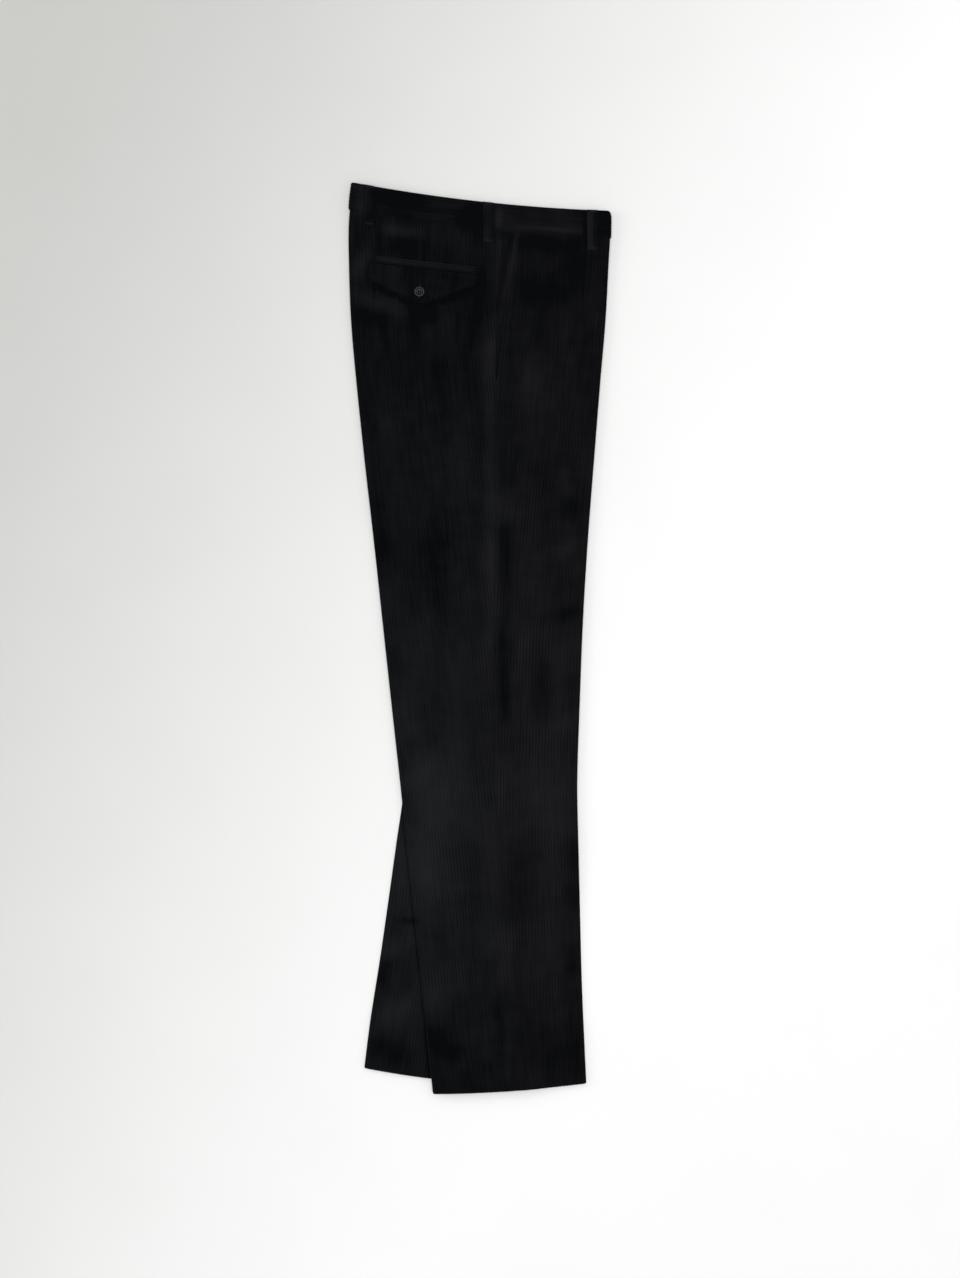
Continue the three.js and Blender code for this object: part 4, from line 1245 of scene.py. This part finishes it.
# spacing of the stitches, their length and thickness, and how far each is turned from its line
sewing = {
    "topstitching": {"pitch": 2.8, "length": 2.2, "radius": 0.2, "turn": 0.0},
    "bar_tacks": {"pitch": 0.55, "length": 2.2, "radius": 0.2, "turn": math.pi / 2},
    "buttonhole": {"pitch": 0.5, "length": 1.7, "radius": 0.2, "turn": math.pi / 2},
}
runs = {
    "mouthInset": 6.0, "mouthTop": 1030, "mouthTackInset": 1.2, "bandEnds": 150, "bandInset": 3.2,
    "loopTacks": (0.045, 0.95), "loopTackHalf": 5.2, "buttonholeHalf": (1.1, 8.6),
    "wobble": 0.09, "seed": 7,
}


def stitchTree():
    tree = bpy.data.node_groups.new("stitchRun", "GeometryNodeTree")
    sockets = tree.interface
    sockets.new_socket("Geometry", in_out="INPUT", socket_type="NodeSocketGeometry")
    sizes = {"Pitch": 0.0027, "Stitch length": 0.0021, "Thread radius": 0.0002, "Turn": 0.0}
    for name, value in sizes.items():
        sockets.new_socket(name, in_out="INPUT", socket_type="NodeSocketFloat").default_value = value
    sockets.new_socket("Thread", in_out="INPUT", socket_type="NodeSocketMaterial")
    sockets.new_socket("Geometry", in_out="OUTPUT", socket_type="NodeSocketGeometry")

    def node(kind, values=None, **settings):
        made = tree.nodes.new(kind)
        for key, value in settings.items():
            setattr(made, key, value)
        for key, value in (values or {}).items():
            if isinstance(value, bpy.types.NodeSocket):
                tree.links.new(value, made.inputs[key])
            else:
                made.inputs[key].default_value = value
        return made.outputs

    given = node("NodeGroupInput")
    length, radius = given["Stitch length"], given["Thread radius"]
    path = node(
        "GeometryNodeResampleCurve", {"Curve": given["Geometry"], "Length": given["Pitch"]}, mode="LENGTH",
    )
    tangent = node("GeometryNodeInputTangent")
    along = node("FunctionNodeAlignRotationToVector", {"Vector": tangent[0]}, axis="X")
    limits = {2: -runs["wobble"], 3: runs["wobble"], "Seed": runs["seed"]}
    wobble = node("FunctionNodeRandomValue", limits, data_type="FLOAT")
    lean = node("ShaderNodeMath", {0: given["Turn"], 1: wobble[1]}, operation="ADD")
    spun = node("ShaderNodeCombineXYZ", {"Z": lean[0]})
    turned = node(
        "FunctionNodeRotateRotation", {"Rotation": along[0], "Rotate By": spun[0]}, rotation_space="LOCAL",
    )
    half = node("ShaderNodeMath", {0: length, 1: 0.5}, operation="MULTIPLY")
    size = node("ShaderNodeCombineXYZ", {"X": half[0], "Y": radius, "Z": radius})
    ball = node("GeometryNodeMeshUVSphere", {"Segments": 8, "Rings": 6, "Radius": 1.0})
    shaped = node("GeometryNodeTransform", {"Geometry": ball["Mesh"], "Scale": size[0]})
    stitches = node(
        "GeometryNodeInstanceOnPoints", {"Points": path[0], "Instance": shaped[0], "Rotation": turned[0]},
    )
    real = node("GeometryNodeRealizeInstances", {"Geometry": stitches[0]})
    smooth = node("GeometryNodeSetShadeSmooth", {"Geometry": real[0]})
    dressed = node("GeometryNodeSetMaterial", {"Geometry": smooth[0], "Material": given["Thread"]})
    node("NodeGroupOutput", {"Geometry": dressed[0]})
    return tree


stitchRun = stitchTree()


def sew(name, lines):
    # a run of stitches along each line
    holder = curvePiece(name, lines)
    modifier = holder.modifiers.new("stitches", "NODES")
    modifier.node_group = stitchRun
    wanted = sewing[name]
    given = {
        "Pitch": wanted["pitch"] * mm,
        "Stitch length": wanted["length"] * mm,
        "Thread radius": wanted["radius"] * mm,
        "Turn": wanted["turn"],
        "Thread": thread,
    }
    for item in stitchRun.interface.items_tree:
        if item.in_out == "INPUT" and item.name in given:
            modifier[item.identifier] = given[item.name]
    asThread(holder, name)


def flapEdgeLine():
    inset = flap["stitchInset"]
    across = np.linspace(-flap["halfWidth"] + inset, flap["halfWidth"] - inset, 90)
    down = np.maximum(flapDepth(across) - inset / flap["slant"], 2)
    across = np.concatenate([[across[0]] * 6, across, [across[-1]] * 6])
    down = np.concatenate([np.linspace(1, down[0], 7)[:-1], down, np.linspace(down[-1], 1, 7)[1:]])
    return place(*onPocket(across, -down, flapTop(across, down) + flap["relief"] * 0.4 + 0.08))


def mouthLine():
    y = np.linspace(mouth["foot"] + 2, runs["mouthTop"], 90)
    x = pocketMouthX(y) + runs["mouthInset"]
    return place(x, y, outerMid("right", x, y) + cloth["thickness"] / 2 + cloth["waleHeight"] * 0.8 + 0.1)


def bandLine():
    x = np.linspace(-runs["bandEnds"], runs["bandEnds"], 160)
    z = outerMid("right", x, bandSeam(x)) + waist["bandThickness"] / 2 + waist["bandRelief"] * 0.5 + 0.05
    return place(x, waistEdge(x) - runs["bandInset"], z)


def loopTacks():
    lines = []
    for centre in beltLoops["places"].values():
        for down in runs["loopTacks"]:
            x = np.linspace(centre - runs["loopTackHalf"], centre + runs["loopTackHalf"], 9)
            y = waistEdge(x) - beltLoops["length"] * down
            z = loopSurface("right", x, y, down) + beltLoops["thickness"] + beltLoops["relief"] * 0.7 + 0.1
            lines.append(place(x, y, z))
    return lines


def mouthTack():
    y = np.linspace(mouth["foot"] - 1, mouth["foot"] + 8, 12)
    x = pocketMouthX(y) + runs["mouthTackInset"]
    return place(x, y, outerMid("right", x, y) + cloth["thickness"] / 2 + cloth["waleHeight"] + 0.12)


def buttonholeLine():
    turns = np.linspace(0, math.tau, 60)
    halfWidth, halfLength = runs["buttonholeHalf"]
    across = button["x"] + halfWidth * np.cos(turns)
    down = -(button["y"] + 0.5 + halfLength * np.sin(turns))
    return place(*onPocket(across, -down, flapTop(across, down) + flap["relief"] + 0.02))


sew("topstitching", [flapEdgeLine(), mouthLine(), bandLine()])
sew("bar_tacks", [*loopTacks(), mouthTack()])
sew("buttonhole", [buttonholeLine()])
print("stitching made")

# Surface, light and camera
studio = {
    "cameraHeight": 4.2,
    "frameHeight": 1.5336,     # metres of the surface from the frame's top to its bottom
    "sensor": 24,
    "centreY": -0.001,
    "floorHalf": 6,
    "worldStrength": 0.30,
    "lights": {                # where, towards what, size, power
        "softAbove": ((0, 0, 8), (0, 0, 0), 3.5, 379),
        "softLeft": ((-2.4, 0.5, 1.3), (0, 0, 0), 1.2, 15),
        "softTop": ((0.3, 1.4, 2.6), (0, 0, 0), 1.8, 10.5),
        "softRight": ((2.6, -0.9, 2.2), (0.2, -0.2, 0), 2.0, 10.5),
    },
}


def areaLight(name, where, target, size, power):
    data = bpy.data.lights.new(name, "AREA")
    data.shape = "SQUARE"
    data.size = size
    data.energy = power
    light = linked(name, data)
    light.location = where
    light.rotation_euler = (Vector(target) - Vector(where)).to_track_quat("-Z", "Y").to_euler()


def makeStudio():
    half = studio["floorHalf"]
    floor = bpy.data.meshes.new("floor")
    corners = [(-half, -half, 0), (half, -half, 0), (half, half, 0), (-half, half, 0)]
    floor.from_pydata(corners, [], [(0, 1, 2, 3)])
    floor.materials.append(floorFinish())
    linked("floor", floor)

    world = bpy.data.worlds.new("studio")
    world.use_nodes = True
    backdrop = world.node_tree.nodes["Background"]
    backdrop.inputs["Color"].default_value = (1.0, 1.0, 1.0, 1)
    backdrop.inputs["Strength"].default_value = studio["worldStrength"]
    bpy.context.scene.world = world
    bpy.context.scene.view_settings.view_transform = "Standard"
    for name, light in studio["lights"].items():
        areaLight(name, *light)

    camera = bpy.data.cameras.new("camera")
    camera.sensor_fit = "VERTICAL"
    camera.sensor_height = studio["sensor"]
    camera.lens = studio["sensor"] * studio["cameraHeight"] / studio["frameHeight"]
    camera.clip_end = 50
    eye = linked("camera", camera)
    eye.location = (0, studio["centreY"], studio["cameraHeight"])
    bpy.context.scene.camera = eye


makeStudio()
print("studio made")

triangles = {}
for piece in bpy.data.objects:
    if piece.type == "MESH" and not piece.hide_render:
        triangles[piece.name] = sum(len(face.vertices) - 2 for face in piece.data.polygons)
most = sorted(triangles.items(), key=lambda item: -item[1])[:6]
print("triangles:", sum(triangles.values()), "most:", most)
